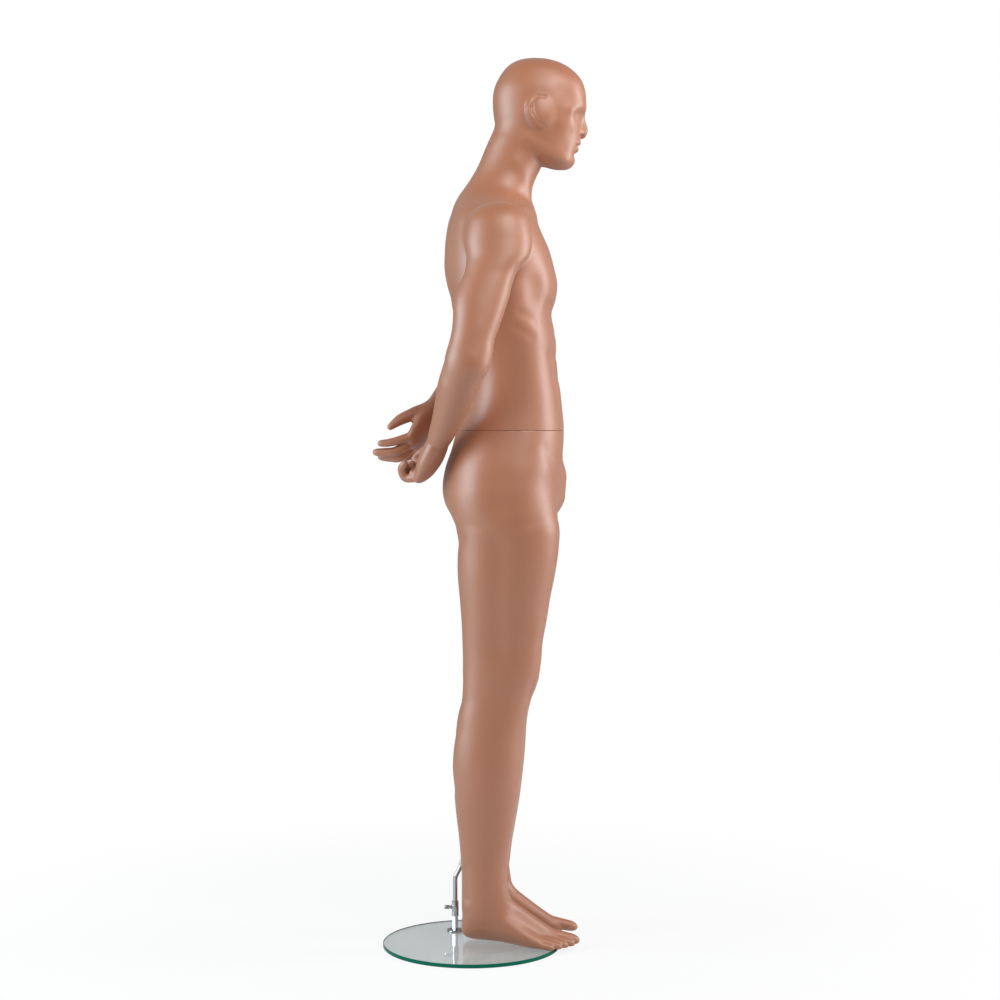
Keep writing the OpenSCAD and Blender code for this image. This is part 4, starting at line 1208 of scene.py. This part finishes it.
class Graph:
    """Node graph of one material, or of the world."""

    def __init__(self, name: str, world: bool = False) -> None:
        """Starts a material or a world with an empty graph."""
        self.owner = bpy.data.worlds.new(name) if world else bpy.data.materials.new(name)
        self.output = "ShaderNodeOutputWorld" if world else "ShaderNodeOutputMaterial"
        self.owner.use_nodes = True
        self.tree = self.owner.node_tree
        self.tree.nodes.clear()

    def node(self, kind: str, settings: Optional[dict[str, Any]] = None,
             inputs: Optional[dict[Any, Any]] = None, output: Any = 0) -> Value:
        """Adds a node.

        Args:
            kind: Type of the node.
            settings: Its settings, set first.
            inputs: Values or links of its sockets, by name or number.
            output: Output to return, by name or number.

        Returns:
            The wrapped output.
        """
        node = self.tree.nodes.new(kind)
        for key, value in (settings or {}).items():
            if key == "stops":
                for i, (place, colour) in enumerate(value):
                    stop = node.color_ramp.elements[i] if i < 2 else node.color_ramp.elements.new(place)
                    stop.position, stop.color = place, colour
            else:
                setattr(node, key, value)
        for key, value in (inputs or {}).items():
            if isinstance(value, Value):
                self.tree.links.new(value.socket, node.inputs[key])
            else:
                node.inputs[key].default_value = value
        return Value(self, node.outputs[output])

    def math(self, operation: str, a: Number, b: Number) -> Value:
        """Adds a Math node."""
        return self.node("ShaderNodeMath", {"operation": operation}, {0: a, 1: b})

    def ray(self, kind: str) -> Value:
        """One for light paths of a kind, such as Is Camera Ray, and nothing for others."""
        return self.node("ShaderNodeLightPath", output=kind)

    def length(self, vector: Value) -> Value:
        """Length of a vector."""
        return self.node("ShaderNodeVectorMath", {"operation": "LENGTH"}, {0: vector}, "Value")

    def blend(self, share: Value, a: Value, b: Value) -> Value:
        """Mix of two shaders."""
        return self.node("ShaderNodeMixShader", inputs={0: share, 1: a, 2: b})

    def place(self) -> Value:
        """Object coordinates, in metres of the frame."""
        return self.node("ShaderNodeTexCoord", output="Object")

    def noise(self, scale: float, detail: float = 2.0, stretch: Point = (1.0, 1.0, 1.0)) -> Value:
        """Noise from 0 to 1 with features of about one part in scale of a metre."""
        at = self.node("ShaderNodeMapping", inputs={"Vector": self.place(), "Scale": stretch})
        return self.node("ShaderNodeTexNoise", inputs={"Vector": at, "Scale": scale, "Detail": detail})

    def ramp(self, value: Value, *stops: tuple[float, Sequence[float]]) -> Value:
        """Colour ramp of a value."""
        return self.node("ShaderNodeValToRGB", {"stops": stops}, {"Fac": value})

    def mix(self, share: Number, a: Any, b: Any) -> Value:
        """Mix of two colours."""
        return self.node("ShaderNodeMix", {"data_type": "RGBA"}, {0: share, 6: a, 7: b}, 2)

    def bump(self, height: Value, strength: float, distance: float) -> Value:
        """Normal that a height bends."""
        inputs = {"Height": height, "Strength": strength, "Distance": distance}
        return self.node("ShaderNodeBump", inputs=inputs)

    def shader(self, **inputs: Any) -> Value:
        """Adds a surface shader, whose sockets are named with underscores for spaces."""
        named = {key.replace("_", " "): value for key, value in inputs.items()}
        return self.node("ShaderNodeBsdfPrincipled", inputs=named)

    def surface(self, **inputs: Any) -> bpy.types.Material:
        """Ends the graph in one surface shader.

        Args:
            inputs: Its sockets, with underscores for spaces.

        Returns:
            The material.
        """
        self.end(self.shader(**inputs))
        return self.owner

    def end(self, shader: Value) -> None:
        """Links a shader to the output."""
        out = self.tree.nodes.new(self.output)
        self.tree.links.new(shader.socket, out.inputs["Surface"])


@dataclass(frozen=True)
class SkinPaint:
    """Satin sprayed paint on a moulded shell: clouded tone and a fine orange peel."""

    tone: Colour = linear(171, 104, 65)
    warm: Colour = linear(165, 97, 60)
    roughness: float = 0.5
    uneven: float = 0.08
    gloss: float = 1.0
    lacquer: float = 0.6
    bloom: float = 0.14
    cloud_scale: float = 7.0
    fleck_scale: float = 260.0
    peel_scale: float = 620.0
    peel_strength: float = 0.05
    peel_height: float = 0.0004

    def material(self) -> bpy.types.Material:
        """Makes the material."""
        g = Graph("skin_paint")
        cloud = g.noise(self.cloud_scale, 3.0)
        fleck = g.noise(self.fleck_scale)
        peel = g.noise(self.peel_scale, 1.0)
        return g.surface(
            Base_Color=g.mix(cloud, self.tone, self.warm),
            Roughness=fleck * self.uneven + (self.roughness - self.uneven / 2),
            Specular_IOR_Level=self.gloss, Coat_Weight=self.lacquer, Coat_Roughness=self.roughness,
            Sheen_Weight=self.bloom, Sheen_Roughness=self.roughness,
            Normal=g.bump(peel, self.peel_strength, self.peel_height))


@dataclass(frozen=True)
class BaseGlass:
    """Float glass: nearly clear through its faces, green at its edge."""

    face: Colour = linear(226, 231, 231)
    face_roughness: float = 0.01
    face_smear: float = 0.03
    index: float = 1.5
    edge: Colour = linear(0, 100, 78)
    edge_roughness: float = 0.08
    edge_smear: float = 0.1
    edge_gloss: float = 0.12
    edge_band: float = 0.0012
    smear_scale: float = 30.0

    def material(self) -> bpy.types.Material:
        """Makes the material."""
        low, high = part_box("glass_base")
        radius = float(high[0] - low[0]) / 2
        g = Graph("base_glass")
        at = g.node("ShaderNodeMapping", inputs={
            "Vector": g.place(), "Scale": (1.0, 1.0, 0.0),
            "Location": (-float(high[0] + low[0]) / 2, -float(high[1] + low[1]) / 2, 0.0)})
        rim = g.math("GREATER_THAN", g.length(at), radius - self.edge_band)
        smear = g.noise(self.smear_scale, 3.0)
        clear = g.shader(Base_Color=self.face, Roughness=smear * self.face_smear + self.face_roughness,
                         Transmission_Weight=1.0, IOR=self.index)
        green = g.shader(Base_Color=self.edge, Roughness=smear * self.edge_smear + self.edge_roughness,
                         Specular_IOR_Level=self.edge_gloss)
        g.end(g.blend(rim, clear, green))
        return g.owner


@dataclass(frozen=True)
class Metal:
    """Bright metal with a faint mottle in its gloss."""

    name: str
    tone: Colour
    roughness: float
    uneven: float = 0.5
    dull_share: float = 0.86
    grain_scale: float = 160.0
    grain_strength: float = 0.03
    grain_height: float = 0.0003

    def material(self) -> bpy.types.Material:
        """Makes the material."""
        g = Graph(self.name)
        mottle = g.noise(self.grain_scale, 3.0)
        least = (1 - self.uneven / 2) * self.roughness
        return g.surface(
            Base_Color=g.mix(mottle, self.tone, darker(self.tone, self.dull_share)), Metallic=1.0,
            Roughness=mottle * (self.uneven * self.roughness) + least,
            Normal=g.bump(mottle, self.grain_strength, self.grain_height))


@dataclass(frozen=True)
class Plywood:
    """Birch plywood: long grain on its faces."""

    pale: Colour = linear(214, 182, 138)
    dark: Colour = linear(178, 138, 92)
    roughness: float = 0.5
    uneven: float = 0.2
    grain_scale: float = 240.0
    grain_stretch: Point = (0.08, 1.0, 1.0)
    grain_share: float = 0.7
    grain_strength: float = 0.15
    grain_height: float = 0.0005
    cloud_scale: float = 18.0
    cloud_stretch: Point = (0.3, 1.0, 1.0)

    def material(self) -> bpy.types.Material:
        """Makes the material."""
        g = Graph("plywood")
        grain = g.noise(self.grain_scale, 4.0, self.grain_stretch)
        cloud = g.noise(self.cloud_scale, 2.0, self.cloud_stretch)
        tone = grain * self.grain_share + cloud * (1 - self.grain_share)
        return g.surface(
            Base_Color=g.ramp(tone, (0.3, self.dark), (0.7, self.pale)),
            Roughness=grain * self.uneven + self.roughness,
            Normal=g.bump(grain, self.grain_strength, self.grain_height))


@dataclass(frozen=True)
class Moulded:
    """Dull moulded plastic or rubber with a fine spark texture."""

    name: str
    tone: Colour
    roughness: float
    uneven: float = 0.12
    dark_share: float = 0.8
    spark_scale: float = 900.0
    spark_strength: float = 0.2
    spark_height: float = 0.0003

    def material(self) -> bpy.types.Material:
        """Makes the material."""
        g = Graph(self.name)
        spark = g.noise(self.spark_scale)
        return g.surface(
            Base_Color=g.mix(spark, self.tone, darker(self.tone, self.dark_share)),
            Roughness=spark * self.uneven + (self.roughness - self.uneven / 2),
            Normal=g.bump(spark, self.spark_strength, self.spark_height))


@dataclass
class GlassDisc:
    """Round glass of the base, with ground edges and the hole of its bolt, in metres of the frame."""

    sides: int = 256
    bevel: float = 0.0008
    hole_gap: float = 0.0001

    def ring(self, middle: Array, radius: float, z: float) -> Array:
        """Points of a level circle."""
        turn = np.arange(self.sides) * (2 * math.pi / self.sides)
        return np.stack([middle[0] + radius * np.cos(turn), middle[1] + radius * np.sin(turn),
                         np.full(self.sides, z)], axis=1)

    def build(self) -> None:
        """Makes the object: a closed profile of rings, from the hole out over the top and back below."""
        low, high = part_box("glass_base")
        middle, radius = (low + high) / 2, float(high[0] - low[0]) / 2
        bush_low, bush_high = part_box("bolt_bush")
        bolt, hole = (bush_low + bush_high) / 2, float(bush_high[0] - bush_low[0]) / 2 + self.hole_gap
        floor, top, b = float(low[2]), float(high[2]), self.bevel
        rings = [self.ring(bolt, hole, top), self.ring(middle, radius - b, top),
                 self.ring(middle, radius, top - b), self.ring(middle, radius, floor + b),
                 self.ring(middle, radius - b, floor), self.ring(bolt, hole, floor)]
        near = np.arange(self.sides)
        far = np.roll(near, -1)
        quads = []
        for i in range(len(rings)):
            here, there = i * self.sides, (i + 1) % len(rings) * self.sides
            quads.append(np.stack([here + near, there + near, there + far, here + far], axis=1))
        glass = BaseGlass().material()
        mesh = smooth_mesh("glass_disc", np.concatenate(rings), np.concatenate(quads), glass)
        disc = show("glass_disc", mesh)
        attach(disc, "base")
        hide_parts("glass_base")


@dataclass
class Fittings:
    """Stand, boards and fittings: CAD solids that keep their shape and get a better finish."""

    chrome: Sequence[str] = (
        "base_bolt", "base_flange", "coupling_nut", "rod_socket", "wing_screw", "support_rod")
    boards: Sequence[str] = ("lower_waist_board", "torso_waist_board")
    nylon: Sequence[str] = ("bolt_bush", "calf_sleeve")
    rubber: Sequence[str] = ("flange_gasket",)

    def dress(self) -> None:
        """Gives each shown solid its finish; what is left over is zinc-plated steel."""
        finishes = [
            (self.chrome, Metal("chrome", linear(205, 203, 206), 0.1).material()),
            (self.boards, Plywood().material()),
            (self.nylon, Moulded("nylon", linear(222, 218, 208), 0.5).material()),
            (self.rubber, Moulded("gasket", linear(40, 40, 42), 0.7).material()),
        ]
        named = {node: material for nodes, material in finishes for node in nodes}
        steel = Metal("steel", linear(176, 178, 180), 0.32).material()
        for node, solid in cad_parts.items():
            if solid.hide_render:
                continue
            solid.data.materials.clear()
            solid.data.materials.append(named.get(node, steel))
            LOG.info("%s: %s", node, solid.data.materials[0].name)


# The studio


@dataclass
class Studio:
    """White floor and backdrop, soft lights on both sides, and the camera of the photograph."""

    camera_at: Point = (-4.345, -0.0614, 1.129)
    pitch: float = 2.24
    focal_px: float = 2036.0
    sensor: float = 36.0
    frame_px: float = 1000.0
    floor_size: float = 60.0
    floor_z: float = -0.0004
    floor_tone: float = 0.8
    floor_glow: float = 0.85
    fade_from: float = 0.3
    fade_to: float = 1.6
    under_glass: float = 0.5
    world_light: float = 0.26
    lamps: Sequence[tuple] = (
        ("front_strip", (0.1, -3.0, 1.8), (0.0, 0.0, 1.25), (0.9, 2.4), 66.0, (0.92, 0.97, 1.0)),
        ("back_softbox", (-0.9, 2.8, 1.8), (0.0, 0.0, 1.25), (2.0, 2.4), 94.0, (0.75, 0.9, 1.0)),
        ("key_softbox", (-1.7, -1.1, 3.0), (0.0, -0.1, 1.65), (1.5, 1.5), 44.0, (1.0, 0.97, 0.93)),
    )

    def build(self) -> None:
        """Builds floor, world, lights and camera."""
        self.lay_floor()
        self.light_world()
        for name, at, aim, size, power, tint in self.lamps:
            lamp = bpy.data.lights.new(name, "AREA")
            lamp.shape, lamp.energy, lamp.color = "RECTANGLE", power, tint
            lamp.size, lamp.size_y = size
            self.aim(show(name, lamp), at, Vector(aim) - Vector(at))
        self.set_camera()
        bpy.context.scene.view_settings.view_transform = "Standard"

    def aim(self, shown: bpy.types.Object, at: Point, way: Vector) -> None:
        """Puts a lamp or a camera in its place and turns it to look along a direction."""
        shown.location = at
        shown.rotation_euler = way.to_track_quat("-Z", "Y").to_euler()

    def lay_floor(self) -> None:
        """Lays the floor: white where it is seen, with the shadow of the object left on it."""
        half = self.floor_size / 2
        mesh = bpy.data.meshes.new("floor")
        corners = ((-half, -half), (half, -half), (half, half), (-half, half))
        mesh.from_pydata([(x, y, self.floor_z) for x, y in corners], [], [(0, 1, 2, 3)])
        g = Graph("floor_paper")
        away = g.length(g.place())
        fade = g.node("ShaderNodeMapRange", {"interpolation_type": "SMOOTHSTEP"},
                      {0: away, 1: self.fade_from, 2: self.fade_to, 3: self.floor_glow, 4: 1.0})
        glowing = g.ray("Is Camera Ray") * fade + g.ray("Is Transmission Ray") * self.under_glass
        plain = g.node("ShaderNodeBsdfDiffuse", inputs={"Color": (*[self.floor_tone] * 3, 1)})
        glow = g.node("ShaderNodeEmission", inputs={"Color": WHITE, "Strength": 1.0})
        g.end(g.blend(glowing, plain, glow))
        mesh.materials.append(g.owner)
        floor = show("floor", mesh)

    def light_world(self) -> None:
        """Makes the world white where it is seen and a soft fill elsewhere."""
        g = Graph("studio", world=True)
        fill = g.node("ShaderNodeBackground", inputs={"Color": WHITE, "Strength": self.world_light})
        white = g.node("ShaderNodeBackground", inputs={"Color": WHITE, "Strength": 1.0})
        shown = g.math("MAXIMUM", g.ray("Is Camera Ray"), g.ray("Is Transmission Ray"))
        g.end(g.blend(shown, fill, white))
        bpy.context.scene.world = g.owner

    def set_camera(self) -> None:
        """Sets the camera at the figure's right side, at chest height."""
        data = bpy.data.cameras.new("photo_camera")
        data.sensor_width = self.sensor
        data.lens = self.focal_px / self.frame_px * self.sensor
        pitch = math.radians(self.pitch)
        camera = show("photo_camera", data)
        self.aim(camera, self.camera_at, Vector((math.cos(pitch), 0, -math.sin(pitch))))
        bpy.context.scene.camera = camera


def main() -> None:
    """Builds the figure, dresses the stand and sets the studio."""
    logging.basicConfig(level=logging.INFO, format="%(message)s")
    place = FigureFrame.read()
    paint = SkinPaint().material()
    make_piece("torso_shell", Torso(place.waist_z).model(), place, "torso", paint)
    make_piece("lower_body_shell", LowerBody(place.waist_z).model(), place, "lower", paint)
    for side in Side:
        name = side.name.lower()
        for part, sculpted in (("arm", Arm(GRIPS[side])), ("hand", Hand(GRIPS[side]))):
            skin = sculpted.model()
            shown = skin if side is Side.LEFT else skin.mirrored()
            node = f"{name}_arm_shell" if part == "arm" else f"{name}_hand"
            make_piece(node, shown, place, f"{name}_{part}", paint)
    GlassDisc().build()
    Fittings().dress()
    Studio().build()


if __name__ == "__main__":
    main()
